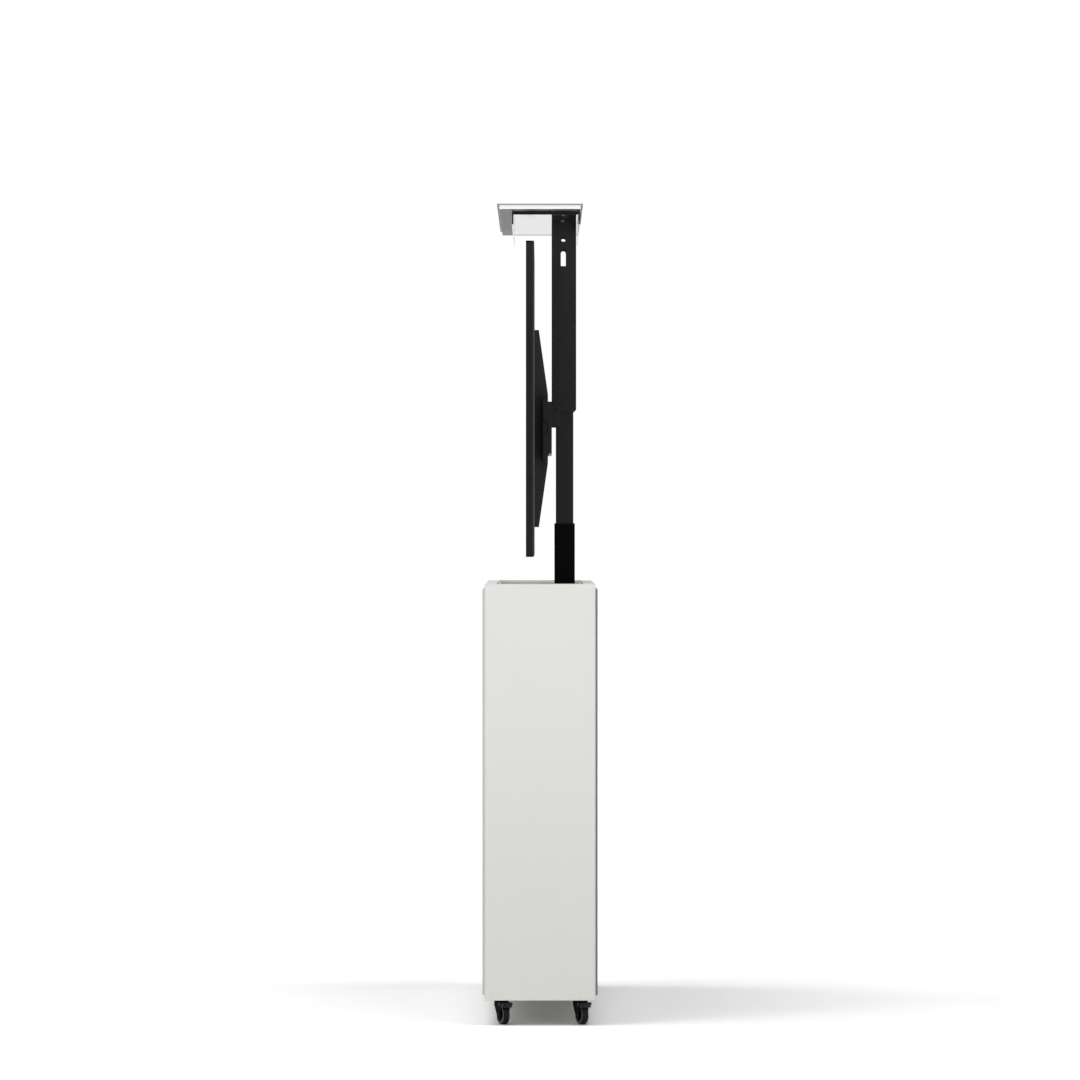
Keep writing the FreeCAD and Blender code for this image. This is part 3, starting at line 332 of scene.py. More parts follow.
# For each look its maker, its tone or the setting that holds it, and the maker's other values in order.
LOOKS = {
    "board": (laminate, "cabinet.laminate", GRAIN_UP),
    "rail": (laminate, "cabinet.laminate", GRAIN_ACROSS),
    "edging": (laminate, "cabinet.laminate", GRAIN_UP, 0.36, 0.015),
    # painted light: a whiter copy of the laminate
    "lid_face": (laminate, "lift.lid", GRAIN_ACROSS, 0.3, 0.02, 0.5),
    # painted shade: the lid's underside, near black
    "lid_backing": (coated, "lift.backing", 0.38, 0.15, 300, 0.02),
    "front_edge": (coated, "cabinet.front_edge", 0.45, 0.4, 500, 0.05),
    # painted shade: a darker copy of the facings' grey edge
    "plate_edge": (coated, "lift.plate_edge", 0.45, 0.2, 500, 0.05),
    # painted shade: a much darker copy of the facings' grey edge
    "rear_edge": (coated, "cabinet.rear_edge", 0.5, 0.2, 500, 0.05),
    "timber": (timber, "cabinet.timber"),
    "coat": (coated, "lift.coat", 0.36, 0.08),
    # painted shade: a darker copy of the powder coat
    "dark_coat": (coated, "lift.dark_coat", 0.36, 0.02),
    # painted light: a lighter copy of the powder coat
    "arm_coat": (coated, "lift.arm_coat", 0.36, 0.08),
    "tray_coat": (coated, "lift.gloss", 0.06, 0.9, 700, 0.01),
    "plastic": (coated, "castor.plastic", 0.42, 0.08, 1500, 0.2),
    "hood": (coated, "castor.plastic", 0.5, 0.01, 1500, 0.2),
    "wheel_side": (coated, "castor.side", 0.5, 0.2, 900, 0.2),
    "shell": (coated, "screen.shell", 0.4, 0.08, 1800, 0.15),
    # painted highlight: a lighter copy of the shell
    "shell_edge": (coated, "screen.shell_edge", 0.34, 0.2, 1800, 0.1),
    "pedal": (coated, "castor.pedal", 0.42, 0.1, 1500, 0.2),
    "rubber": (coated, "castor.rubber", 0.62, 0.1, 900, 0.25),
    "screw": (coated, "lift.coat", 0.4, 0.1, 1200, 0.05),
    "zinc": (metal, (0.16, 0.16, 0.165), 0.35, (900, 900, 900)),
    "steel": (metal, (0.62, 0.62, 0.63), 0.28, (900, 900, 60)),
    "alloy": (coated, (0.5, 0.51, 0.52), 0.52, 0.5, 420, 0.5, 1),
    "can": (coated, (0.045, 0.046, 0.05), 0.34, 0.5, 600, 0.1),
    "nylon": (coated, (0.78, 0.76, 0.69), 0.48, 0.45, 900, 0.1),
    "panel": (glass, "screen.glass"),
}


def material(name):
    made = bpy.data.materials.get(f"look_{name}")
    if made is None:
        maker, tone, *values = LOOKS[name]
        if isinstance(tone, str):
            group, setting = tone.split(".")
            tone = getattr(settings(group), setting)
        made = maker(tone, *values)
        made.name = f"look_{name}"
    return made


# ---- drawing tools ----
EASED = math.radians(40)  # edges sharper than this are eased
CREASED = math.radians(38)  # and those sharper than this break the smooth shading


class Span:
    """A node's box: its ends along each axis, its middle and its sizes."""

    def __init__(self, node):
        low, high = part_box(node)
        self.x0, self.y0, self.z0 = low
        self.x1, self.y1, self.z1 = high
        self.x, self.y, self.z = (low + high) / 2
        self.wide, self.deep, self.tall = (end - start for start, end in zip(low, high))

    def ends(self, axes, inset=0.0):
        """Low and high corner as seen along the third axis, drawn in."""
        return ([getattr(self, axis + "0") + inset for axis in axes],
                [getattr(self, axis + "1") - inset for axis in axes])

    def outline(self, axes, inset=0.0, corner=0.0):
        ends = self.ends(axes, inset)
        return rounded(*ends, corner) if corner else rectangle(*ends)

    def corners(self, axes, inset=0.0):
        low, high = self.ends(axes, inset)
        return [(u, v) for u in (low[0], high[0]) for v in (low[1], high[1])]


def mm(*points, at=(0, 0)):
    """Points given in millimetres from a place."""
    return [(at[0] + u * MM, at[1] + v * MM) for u, v in points]


def arc(centre, radius, start, stop, steps):
    """Points along an arc, its angles in degrees."""
    turns = [math.radians(start + (stop - start) * step / steps) for step in range(steps + 1)]
    return [(centre[0] + radius * math.cos(a), centre[1] + radius * math.sin(a)) for a in turns]


def circle(centre, radius, count):
    return arc(centre, radius, 0, 360, count)[:-1]


def rectangle(low, high):
    return [(low[0], low[1]), (high[0], low[1]), (high[0], high[1]), (low[0], high[1])]


def rounded(low, high, radius, steps=5):
    """A rectangle with round corners."""
    centres = rectangle([end + radius for end in low], [end - radius for end in high])
    return [point for turn, centre in zip((0, 90, 180, 270), centres[2:] + centres[:2])
            for point in arc(centre, radius, turn, turn + 90, steps)]


def centred(centre, wide, tall):
    """Low and high corner of a rectangle round a point."""
    x, z = centre
    return (x - wide / 2, z - tall / 2), (x + wide / 2, z + tall / 2)


def slot(centre, tall, wide, steps=6):
    """An upright slot with round ends, which stop just short of meeting in a point."""
    return rounded(*centred(centre, wide, tall), wide / 2 * 0.999, steps)


def faces_of(parts):
    return [part for part in parts if isinstance(part, bmesh.types.BMFace)]


def plate(bm, outline, low, high, axes=FLAT, holes=(), rim=True):
    """A solid as thick as low to high, with holes right through it. Its rim can be left open."""
    edges = []
    for loop in (outline, *holes):
        verts = [bm.verts.new(axes @ Vector((u, v, low))) for u, v in loop]
        edges += [bm.edges.new(pair) for pair in zip(verts, verts[1:] + verts[:1])]
    if holes:
        faces = faces_of(bmesh.ops.triangle_fill(bm, use_beauty=True, edges=edges)["geom"])
    else:
        faces = [bm.faces.new(verts)]
    copied = bmesh.ops.duplicate(bm, geom=faces)
    lift = axes.to_3x3() @ Vector((0, 0, high - low))
    raised = {vert for face in faces_of(copied["geom"]) for vert in face.verts}
    bmesh.ops.translate(bm, verts=list(raised), vec=lift)
    pairs = copied["vert_map"]
    for edge in edges if rim else edges[len(outline):]:
        near, far = edge.verts
        bm.faces.new((near, far, pairs[far], pairs[near]))


def plates(*drawn):
    """A drawing of plates, each given as an outline, two levels, axes and holes."""
    bm = bmesh.new()
    for values in drawn:
        plate(bm, *values)
    return bm


def stacked(bm, outlines, levels):
    """Plates one on another, whose two outlines take turns."""
    for n, (low, high) in enumerate(zip(levels, levels[1:])):
        plate(bm, outlines[n % 2], low, high)


def joined(bm, near, far):
    """Quads between two rows of points that both close on themselves."""
    for n in range(len(near)):
        after = (n + 1) % len(near)
        bm.faces.new(dict.fromkeys((near[n], near[after], far[after], far[n])))


def turned(bm, profile, centre, axis=UP, count=32, closed=False):
    """A lathe shape. Each row of the profile is a radius, or a radius for each angle, and a height."""
    place = Matrix.Translation(centre) @ Vector(axis).to_track_quat("Z", "Y").to_matrix().to_4x4()
    angles = [math.tau * step / count for step in range(count)]
    rings = []
    for size, height in profile:
        if size == 0:
            rings.append([bm.verts.new(place @ Vector((0, 0, height)))] * count)
            continue
        ring = [((size(a) if callable(size) else size), a) for a in angles]
        rings.append([bm.verts.new(place @ Vector((reach * math.cos(a), reach * math.sin(a), height)))
                      for reach, a in ring])
    for near, far in zip(rings, rings[1:] + rings[:1] if closed else rings[1:]):
        joined(bm, near, far)


def rod(bm, radius, tall, centre, axis=UP, count=32):
    turned(bm, [(0, 0), (radius, 0), (radius, tall), (0, tall)], centre, axis, count)


def six_sided(half):
    """Radius of a hexagon at each angle, half of it across flats."""
    sixth = math.pi / 3
    return lambda angle: half / math.cos((angle + sixth / 2) % sixth - sixth / 2)


def cross(reach, wide):
    """Radius of a cross-shaped recess at each angle."""
    quarter = math.pi / 2

    def at(angle):
        fold = (angle + quarter / 2) % quarter - quarter / 2
        return min(reach / math.cos(fold), wide / 2 / max(abs(math.sin(fold)), 1e-6))
    return at


def screw_head(bm, centre, axis, radius, tall, hexagonal=False):
    """A domed head with a driving recess."""
    drive = six_sided(radius * 0.45) if hexagonal else cross(radius * 0.62, radius * 0.3)
    profile = [(0, 0), (radius, 0), (radius, tall * 0.35), (radius * 0.93, tall * 0.7),
               (radius * 0.78, tall), (drive, tall), (drive, tall * 0.4), (0, tall * 0.4)]
    turned(bm, profile, centre, axis, 48)


def bolt(bm, spot, axis, radius, tall, shank, bite, hexagonal=False):
    """A screw head with a shank that bites in behind it."""
    screw_head(bm, spot, axis, radius, tall, hexagonal)
    rod(bm, shank, bite, spot, [0 - part for part in axis], 20)


def threaded(bm, foot, radius, tall, pitch, depth, count=20):
    """An upright rod with a screw thread that runs out at both ends."""
    core = radius - depth
    rod(bm, core, tall, foot, UP, count)
    inner = core * 0.97
    steps = int((tall - pitch) / pitch * count)
    rows = []
    for step in range(steps + 1):
        angle, low = math.tau * step / count, pitch * step / count
        crest = inner + (radius - inner) * min(1, step / count, (steps - step) / count)
        section = ((inner, 0), (crest, 0.24), (crest, 0.5), (inner, 0.74))
        rows.append([bm.verts.new(Vector(foot) + Vector((reach * math.cos(angle), reach * math.sin(angle),
                                                         low + pitch * rise))) for reach, rise in section])
    for near, far in zip(rows, rows[1:]):
        joined(bm, near, far)
    bm.faces.new(rows[0])
    bm.faces.new(reversed(rows[-1]))


def outward(bm):
    bmesh.ops.recalc_face_normals(bm, faces=bm.faces)


def sharp_edges(bm):
    return [edge for edge in bm.edges if len(edge.link_faces) == 2 and edge.calc_face_angle(0) > EASED]


def soften(bm, edges, width, steps=2):
    bmesh.ops.bevel(bm, geom=edges, offset=width, segments=steps, profile=0.5, affect="EDGES",
                    clamp_overlap=True)


def paint(bm, rule):
    """Gives each face the material whose number its rule returns."""
    for face in bm.faces:
        face.normal_update()
        face.material_index = int(rule(face))


def placed(name, data):
    made = bpy.data.objects.new(name, data)
    bpy.context.scene.collection.objects.link(made)
    return made


def modify(made, name, kind, **values):
    modifier = made.modifiers.new(name, kind)
    for label, value in values.items():
        setattr(modifier, label, value)


def piece(name, bm, looks, body, stands_for=(), ease=0.0, steps=2):
    """Turns a drawing into an object of the cabinet that rides on a body."""
    outward(bm)
    if ease:
        soften(bm, sharp_edges(bm), ease, steps)
    mesh = bpy.data.meshes.new(name)
    bm.to_mesh(mesh)
    bm.free()
    for look in [looks] if isinstance(looks, str) else looks:
        mesh.materials.append(material(look))
    made = placed(name, mesh)
    mesh.shade_smooth()
    mesh.set_sharp_from_angle(angle=CREASED)
    modify(made, "flat_faces", "WEIGHTED_NORMAL", keep_sharp=True, weight=100)
    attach(made, body)
    if stands_for:
        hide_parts(stands_for)


def dress(ease, steps=2, **looks):
    """Gives nodes of the frame their materials and eases their edges."""
    for node, look in looks.items():
        made = frame["nodes"][node]
        for place in made.material_slots:
            place.material = material(look)
        modify(made, "weld", "WELD", merge_threshold=0.01 * MM)
        modify(made, "flats", "DECIMATE", decimate_type="DISSOLVE", angle_limit=math.radians(0.5))
        modify(made, "eased_edges", "BEVEL", limit_method="ANGLE", angle_limit=EASED, width=ease,
               segments=steps, harden_normals=True)


class Undoable:
    """What every operator here shares: its work is taken back in one step."""

    bl_options = {"REGISTER", "UNDO"}


def build(*parts):
    """Makes parts one after another and gives what an operator answers."""
    for part in parts:
        part()
    return {"FINISHED"}


# ---- cabinet ----
def side_panels():
    s, gap = settings("cabinet"), 0.15 * MM
    for name in (f"side_panel_{side}" for side in SIDES):
        box = Span(name)
        bm = plates((box.outline("yz"), box.x0, box.x1, FACING_X, [box.outline("yz", s.band)]))
        piece(f"{name}_edging", bm, "edging", "cabinet", name, 0.4 * s.arris)
        bm = plates((box.outline("yz", s.band + gap), box.x0, box.x1, FACING_X))
        piece(f"{name}_core", bm, "board", "cabinet", name, gap)


def top_frame():
    # The end ledges take the whiter lid look: painted light inside the opening.
    dress(settings("cabinet").arris, front_top_rail="rail", rear_top_rail="rail", end_ledges="lid_face")


def boards():
    arris = settings("cabinet").arris
    dress(0.5 * arris, base_panel="board", front_board="board", rear_board="board")
    dress(arris, corner_cleats="timber")


def facings():
    s, room = settings("cabinet"), 0.3 * MM
    ring, flange = Span("cable_grommet"), Span("power_inlet")
    holes = [circle((ring.x, ring.z), ring.wide / 2 + room, 48), flange.outline("xz", -room)]
    for place, pierced in (("front", ()), ("rear", holes)):
        box = Span(f"{place}_panel")
        outside = box.y0 if place == "front" else box.y1
        bm = plates((box.outline("xz"), box.y0, box.y1, FACING_Y, pierced))
        outward(bm)
        ends = [edge for edge in sharp_edges(bm)
                if all(abs(abs(v.co.x) - box.x1) < MM and abs(v.co.y - outside) < MM / 10
                       for v in edge.verts)]
        soften(bm, ends, s.facing_round, 6)
        paint(bm, lambda face: abs(face.normal.x) > 0.15 or abs(face.normal.z) > 0.5)
        # The rear facing's ends take the much darker rear edge look, which is painted shade.
        piece(f"{place}_panel_sheet", bm, ("board", f"{place}_edge"), "cabinet", f"{place}_panel",
              0.4 * s.arris)


def grommet():
    box = Span("cable_grommet")
    outer, lip, deep = box.wide / 2, 1.2 * MM, box.deep
    inner = outer - 4 * MM
    profile = [(outer, 0), (outer, deep - lip), (outer - lip * 0.4, deep - lip * 0.3), (outer - lip, deep),
               (inner + lip, deep), (inner + lip * 0.4, deep - lip * 0.3), (inner, deep - lip),
               (inner, deep * 0.5), (inner + lip, deep * 0.4), (inner + lip, 0)]
    bm = bmesh.new()
    turned(bm, profile, (box.x, box.y0, box.z), BACK, 64, closed=True)
    piece("cable_grommet_ring", bm, "plastic", "cabinet", "cable_grommet")


def inlet():
    """A flange with a recess for the plug and its pins."""
    box = Span("power_inlet")
    bed, cut = box.y1 - 16 * MM, 4 * MM
    (left, bottom), (right, top) = centred((box.x, box.z), 26 * MM, 18 * MM)
    recess = [(left, bottom), (right, bottom), (right, top - cut), (right - cut, top), (left + cut, top),
              (left, top - cut)]
    bm = plates((box.outline("xz"), bed, box.y1, FACING_Y, [recess]),
                (box.outline("xz", MM, 2 * MM), box.y0, bed, FACING_Y))
    piece("power_inlet_body", bm, "plastic", "cabinet", "power_inlet", 0.4 * MM)
    bm = bmesh.new()
    for pin in mm((-7, -2), (7, -2), (0, 3), at=(box.x, box.z)):
        plate(bm, rectangle(*centred(pin, 2 * MM, 4 * MM)), bed, box.y1 - 2 * MM, FACING_Y)
    for x in (-19.5 * MM, 19.5 * MM):
        screw_head(bm, (box.x + x, box.y1 - 0.9 * MM, box.z), BACK, 2.6 * MM, 0.85 * MM)
    piece("power_inlet_pins", bm, "steel", "cabinet", (), 0.2 * MM)


def control_box():
    box = Span("control_box")
    seam, top = box.z0 + 0.62 * box.tall, box.z1 - 2 * MM
    outline = box.outline("xy", 0, 5 * MM)
    vents = [slot((box.x0 + (40 + 7 * n) * MM, box.y), 40 * MM, 2.4 * MM) for n in range(15)]
    bm = bmesh.new()
    stacked(bm, (outline, box.outline("xy", MM, 4 * MM)), (box.z0, seam, seam + MM, top))
    plate(bm, outline, top, box.z1, FLAT, vents)
    piece("control_box_case", bm, "plastic", "cabinet", "control_box", 0.5 * MM)
    bm = bmesh.new()
    for spot in box.corners("xy", 9 * MM):
        screw_head(bm, (*spot, box.z1), UP, 3 * MM, 1.6 * MM)
    piece("control_box_screws", bm, "screw", "cabinet", ())


class SidePanels(Undoable, bpy.types.Operator):
    """The two end boards, each a core with a band glued round it"""

    bl_idname = "lift_cabinet.side_panels"
    bl_label = "Side panels"

    def execute(self, context):
        return build(side_panels)


class TopFrame(Undoable, bpy.types.Operator):
    """The rails along the top opening, with the rebate that the lid drops into"""

    bl_idname = "lift_cabinet.top_frame"
    bl_label = "Top frame"

    def execute(self, context):
        return build(top_frame)


class Boards(Undoable, bpy.types.Operator):
    """Base, inner boards and corner cleats"""

    bl_idname = "lift_cabinet.boards"
    bl_label = "Boards"

    def execute(self, context):
        return build(boards)


class Facings(Undoable, bpy.types.Operator):
    """The thin panels over the front and the rear, with round ends"""

    bl_idname = "lift_cabinet.facings"
    bl_label = "Facings"

    def execute(self, context):
        return build(facings)


class Services(Undoable, bpy.types.Operator):
    """Cable grommet, mains inlet and control box"""

    bl_idname = "lift_cabinet.services"
    bl_label = "Services"

    def execute(self, context):
        return build(grommet, inlet, control_box)


# ---- column ----
def tubes():
    # The middle tube takes the darker coat: painted shade where it rises just above the cabinet.
    dress(settings("lift").sheet_edge, column_outer_tube="coat", column_middle_tube="dark_coat",
          column_inner_tube="coat")
    dress(0.8 * MM, 3, outer_tube_collar="plastic", middle_tube_collar="plastic")


def lead_screws():
    s = settings("lift")
    for node, body in (("lower_lead_screw", "cabinet"), ("upper_lead_screw", "middle_stage")):
        box = Span(node)
        bm = bmesh.new()
        threaded(bm, (box.x, box.y, box.z0), box.wide / 2, box.tall, s.thread_pitch, s.thread_depth)
        piece(f"{node}_thread", bm, "steel", body, node)
    dress(0.5 * MM, lower_nut_block="nylon", upper_nut_block="nylon")


def base_plate():
    box = Span("lift_base_plate")
    spots = box.corners("xy", 14 * MM)
    holes = [circle(spot, 4.5 * MM, 24) for spot in spots]
    bm = plates((box.outline("xy", 0, 6 * MM), box.z0, box.z1, FLAT, holes))
    piece("lift_base_plate_sheet", bm, "coat", "cabinet", "lift_base_plate", 0.6 * MM)
    bm = bmesh.new()
    washer, head = 1.6 * MM, six_sided(6.5 * MM)
    for spot in spots:
        rod(bm, 8.5 * MM, washer, (*spot, box.z1))
        turned(bm, [(0, 0), (head, 0), (head, 4.4 * MM), (5.6 * MM, 5.3 * MM), (0, 5.3 * MM)],
               (*spot, box.z1 + washer), UP, 48)
    piece("lift_base_bolts", bm, "steel", "cabinet", ())


def gearbox():
    """A casting with flanges, a seam and ribs."""
    box = Span("gearbox_housing")
    seam, skin = box.z0 + 0.45 * box.tall, 2 * MM
    foot, head = box.z0 + 5 * MM, box.z1 - 4 * MM
    bm = bmesh.new()
    stacked(bm, (box.outline("xy", 0, 4 * MM), box.outline("xy", skin, 5 * MM)),
            (box.z0, foot, seam - 3 * MM, seam, seam + MM, seam + 4 * MM, head, box.z1))
    for rib in range(-50, 51, 20):
        for face in (box.y0, box.y1 - skin):
            plate(bm, rectangle((rib * MM - MM, face), (rib * MM + MM, face + skin)), foot, head)
    turned(bm, mm((0, 0), (17, 0), (17, 2.5), (12, 3.5), (0, 3.5)),
           (box.x0 + skin, box.y, box.z), (-1, 0, 0), 40)
    piece("gearbox_housing_casting", bm, "alloy", "cabinet", "gearbox_housing", 0.5 * MM)


def motor():
    """A can with two grooves, on a neck from the gearbox."""
    box = Span("drive_motor")
    radius, neck, tall, lip = box.deep / 2, 14 * MM, box.wide, 1.5 * MM
    grooves = [point for start in (neck + 10 * MM, tall - 24 * MM)
               for point in mm((0, 0), (-1, 1), (-1, 3), (0, 4), at=(radius, start))]
    can = [(0, neck), (radius - lip, neck), (radius, neck + lip), *grooves,
           *mm((0, -4), (-3, -1), at=(radius, tall)), *mm((13, -1), (13, 0), (0, 0), at=(0, tall))]
    bm = bmesh.new()
    rod(bm, 16 * MM, neck, (box.x0, box.y, Span("gearbox_housing").z), ALONG, 40)
    turned(bm, can, (box.x0, box.y, box.z0 + radius), ALONG, 56)
    piece("drive_motor_can", bm, "can", "cabinet", "drive_motor")
    bm = bmesh.new()
    for spot in arc((box.y, box.z0 + radius), 20 * MM, 45, 315, 3):
        screw_head(bm, (box.x1 - MM, *spot), ALONG, 2.6 * MM, MM)
    piece("drive_motor_screws", bm, "screw", "cabinet", ())


def sleeve():
    dress(settings("lift").sheet_edge, head_sleeve="coat", sleeve_spacers="plastic")


class ColumnTubes(Undoable, bpy.types.Operator):
    """The three tubes of the column and the glide collars at their mouths"""

    bl_idname = "lift_cabinet.column_tubes"
    bl_label = "Column tubes"

    def execute(self, context):
        return build(tubes)


class LeadScrews(Undoable, bpy.types.Operator):
    """The two lead screws and the nylon nuts that ride on them"""

    bl_idname = "lift_cabinet.lead_screws"
    bl_label = "Lead screws"

    def execute(self, context):
        return build(lead_screws)


class Drive(Undoable, bpy.types.Operator):
    """Base plate, gearbox and motor at the foot of the column"""

    bl_idname = "lift_cabinet.drive"
    bl_label = "Drive"

    def execute(self, context):
        return build(base_plate, gearbox, motor)


class HeadSleeve(Undoable, bpy.types.Operator):
    """The channel that hangs from the lid over the column, and its spacer blocks"""

    bl_idname = "lift_cabinet.head_sleeve"
    bl_label = "Head sleeve"

    def execute(self, context):
        return build(sleeve)


# ---- lid ----
def lid_boards():
    ease = 0.4 * settings("cabinet").arris
    # The plate's edges take the darker lid edge look, painted shade; both undersides take the near-black
    # look, painted shade; the board's sides take the whiter lid look, painted light.
    for node, name, corner, looks, rule in (
            ("lid_top_plate", "lid_top_plate_sheet", 1.5 * MM, ("rail", "plate_edge", "lid_backing"),
             lambda face: 1 - round(face.normal.z)),
            ("lid_board", "lid_board_core", MM, ("lid_face", "lid_backing"),
             lambda face: face.normal.z < -0.5)):
        box = Span(node)
        bm = plates((box.outline("xy", 0, corner), box.z0, box.z1))
        outward(bm)
        paint(bm, rule)
        piece(name, bm, looks, "lift_head", node, ease)


def tray():
    """A sheet folded down at the front and the rear, with a lip under its right end."""
    box, screws = Span("lid_tray"), Span("tray_screws")
    sheet, bend, top = 4 * MM, 5 * MM, box.z1
    front, rear = (box.y0 + bend, top - bend), (box.y1 - bend, top - bend)
    section = [(box.y0, box.z0), *arc(front, bend, 180, 90, 6), *arc(rear, bend, 90, 0, 6),
               (box.y1, box.z0), (box.y1 - sheet, box.z0), *arc(rear, bend - sheet, 0, 90, 4),
               *arc(front, bend - sheet, 90, 180, 4), (box.y0 + sheet, box.z0)]
    into, drop = 0.9 * sheet, 8.4 * MM
    lip = rectangle((box.y0 + into, top - drop), (box.y1 - into, top - into))
    bm = plates((section, box.x0, box.x1, FACING_X),
                (lip, box.x1 - 2.7 * MM, box.x1 - 0.2 * MM, FACING_X))
    # The faces across the tray's length, its ends and the lip's faces, take the darker coat: painted shade.
    paint(bm, lambda face: abs(face.normal.x) > 0.5)
    piece("lid_tray_fold", bm, ("tray_coat", "dark_coat"), "lift_head", "lid_tray",
          settings("lift").sheet_edge)
    head, count = 4.5 * MM, 4
    first, last = screws.x0 + head, screws.x1 - head
    bm = bmesh.new()
    for step in range(count):
        spot = (first + (last - first) * step / (count - 1), screws.y, top - sheet)
        screw_head(bm, spot, (0, 0, -1), head, 2.5 * MM)
    piece("tray_screw_heads", bm, "zinc", "lift_head", "tray_screws")


class Lid(Undoable, bpy.types.Operator):
    """The thin top plate and the board under it"""

    bl_idname = "lift_cabinet.lid"
    bl_label = "Lid"

    def execute(self, context):
        return build(lid_boards)


class Tray(Undoable, bpy.types.Operator):
    """The folded steel tray that carries the lid, and its screws"""

    bl_idname = "lift_cabinet.tray"
    bl_label = "Tray"

    def execute(self, context):
        return build(tray)


# ---- screen carrier ----
def carrier_sheets():
    # The hook arms take the lighter arm coat: painted light in their shaded recess.
    dress(settings("lift").sheet_edge, mount_plate="coat", upper_hook_rail="coat",
          lower_hook_rail="coat", mount_cheeks="coat", hook_arm_right="arm_coat", hook_arm_left="arm_coat")


def end_plates():
    """Pressed plates that close the rails' ends, with the notch between the two rails sunk in."""
    sheet, upper, lower = Span("mount_plate"), Span("upper_hook_rail"), Span("lower_hook_rail")
    front, back, rail_back = upper.y0 - 1.4 * MM, sheet.y1 - 0.2 * MM, upper.y1 - 0.5 * MM
    behind = [(front, upper.z1), (rail_back, upper.z1), (rail_back, sheet.z1), (back, sheet.z1),
              (back, sheet.z0), (rail_back, sheet.z0), (rail_back, lower.z0), (front, lower.z0)]
    notch = mm((0, -25), (13, -9), (13, 9), (0, 24), at=(front, upper.z0))
    sunk = mm((0, -23), (11.4, -8), (11.4, 6.5), (0, 20), at=(front, upper.z0))
    bm = bmesh.new()
    for side in (-1, 1):
        for outline, near, far in ((behind, 0, 1), (behind + notch, 1, 2.6), (sunk, 1, 2.4)):
            plate(bm, outline, *sorted(side * (sheet.x1 + out * MM) for out in (near, far)), FACING_X)
    # The groove floor between the raised layer and the sunk infill takes the darker coat: painted shade in
    # the groove.
    paint(bm, lambda face: abs(face.calc_center_median().x) - sheet.x1 < 1.1 * MM)
    piece("carrier_end_plates", bm, ("coat", "dark_coat"), "lift_head", (), 0.2 * MM)


def head_bolts():
    cheek, channel, spacer = Span("mount_cheeks"), Span("head_sleeve"), Span("sleeve_spacers")
    radius, tall, shank, tube = 5.5 * MM, 3 * MM, 3 * MM, 59 * MM
    levels = (0.25, 0.75)
    bm = bmesh.new()
    for x in (-97 * MM, 97 * MM):
        for level in levels:
            spot = (x, cheek.y0 + 4 * MM, cheek.z0 + cheek.tall * level)
            bolt(bm, spot, BACK, radius, tall, shank, 6.5 * MM, True)
    long = channel.x1 - tube
    socket = six_sided(1.3 * MM)
    profile = [(0, 0), (shank, 0), (shank, long - 0.2 * MM), (shank - 0.3 * MM, long), (socket, long),
               (socket, long - 1.5 * MM), (0, long - 1.5 * MM)]
    for side in (-1, 1):
        facing = (side, 0, 0)
        spot = (side * (channel.x1 + 4 * MM), channel.y0 + 14 * MM, cheek.z1 - 2 * radius)
        bolt(bm, spot, facing, radius, tall, shank, 6 * MM, True)
        for level in levels:
            spot = (side * tube, Span("column_inner_tube").y, spacer.z1 - spacer.tall * level)
            turned(bm, profile, spot, facing, 36)
    piece("head_bolt_set", bm, "screw", "lift_head", "head_bolts")


def screen_screws():
    box = Span("screen_screws")
    radius, tall = 6 * MM, 3.5 * MM
    bm = bmesh.new()
    for x, z in box.corners("xz", radius):
        bolt(bm, (x, box.y1 - tall, z), BACK, radius, tall, 3 * MM, box.deep - tall)
    piece("screen_screw_set", bm, "screw", "lift_head", "screen_screws")


class Carrier(Undoable, bpy.types.Operator):
    """Mounting plate, hook rails, cheeks and hook arms"""

    bl_idname = "lift_cabinet.carrier"
    bl_label = "Screen carrier"

    def execute(self, context):
        return build(carrier_sheets, end_plates)


class Fasteners(Undoable, bpy.types.Operator):
    """The bolts of the head and the screws of the hook arms"""

    bl_idname = "lift_cabinet.fasteners"
    bl_label = "Fasteners"

    def execute(self, context):
        return build(head_bolts, screen_screws)


# ---- screen ----
COVER_SKIN = 5 * MM


def cover():
    """A shell pierced for screws and vents, and a bay for sockets."""
    s, box = settings("screen"), Span("screen_back_cover")
    rear = box.y1 - COVER_SKIN
    low, high = Span("screen_screws").ends("z", 6 * MM)
    holes = [circle((Span(f"hook_arm_{side}").x, z), 3 * MM, 20) for side in SIDES for z in low + high]
    run = (s.vent_count - 1) * s.vent_pitch / 2
    for middle in (-480 * MM, 480 * MM):
        for z in (box.z1 - 70 * MM, box.z1 - 110 * MM):
            holes += [slot((middle - run + n * s.vent_pitch, z), 26 * MM, 4 * MM, 3)
                      for n in range(s.vent_count)]
    bay_low, bay_high = mm((-560, 150), (-400, 215), at=(0, box.z0))
    bay = rounded(bay_low, bay_high, 4 * MM)
    holes.append(bay)
    wall = 2.5 * MM
    bm = plates((box.outline("xz", 0, s.corner), box.y0, rear, FACING_Y,
                 [box.outline("xz", wall, s.corner - wall)]))
    rear_skin(bm, box, holes, s.corner, s.rear_round)
    # The slanted faces of the rear round take the lighter edge look: a painted highlight.
    paint(bm, lambda face: 0.1 < abs(face.normal.y) < 0.99 and face.calc_center_median().y > rear)
    piece("screen_back_cover_shell", bm, ("shell", "shell_edge"), "lift_head", "screen_back_cover",
          0.4 * MM)
    bed, sheet = box.y1 - 12 * MM, 2 * MM
    inside = rounded([end + sheet for end in bay_low], [end - sheet for end in bay_high], 3 * MM)
    level = (bay_low[1] + bay_high[1]) / 2
    sockets = [rectangle(*centred((bay_low[0] + (22 + 36 * n) * MM, level), 16 * MM, 6 * MM))
               for n in range(4)]
    bm = plates((bay, bed, rear, FACING_Y, [inside]), (bay, bed - sheet, bed, FACING_Y, sockets))
    piece("screen_socket_bay", bm, "shell", "lift_head", (), 0.3 * MM)


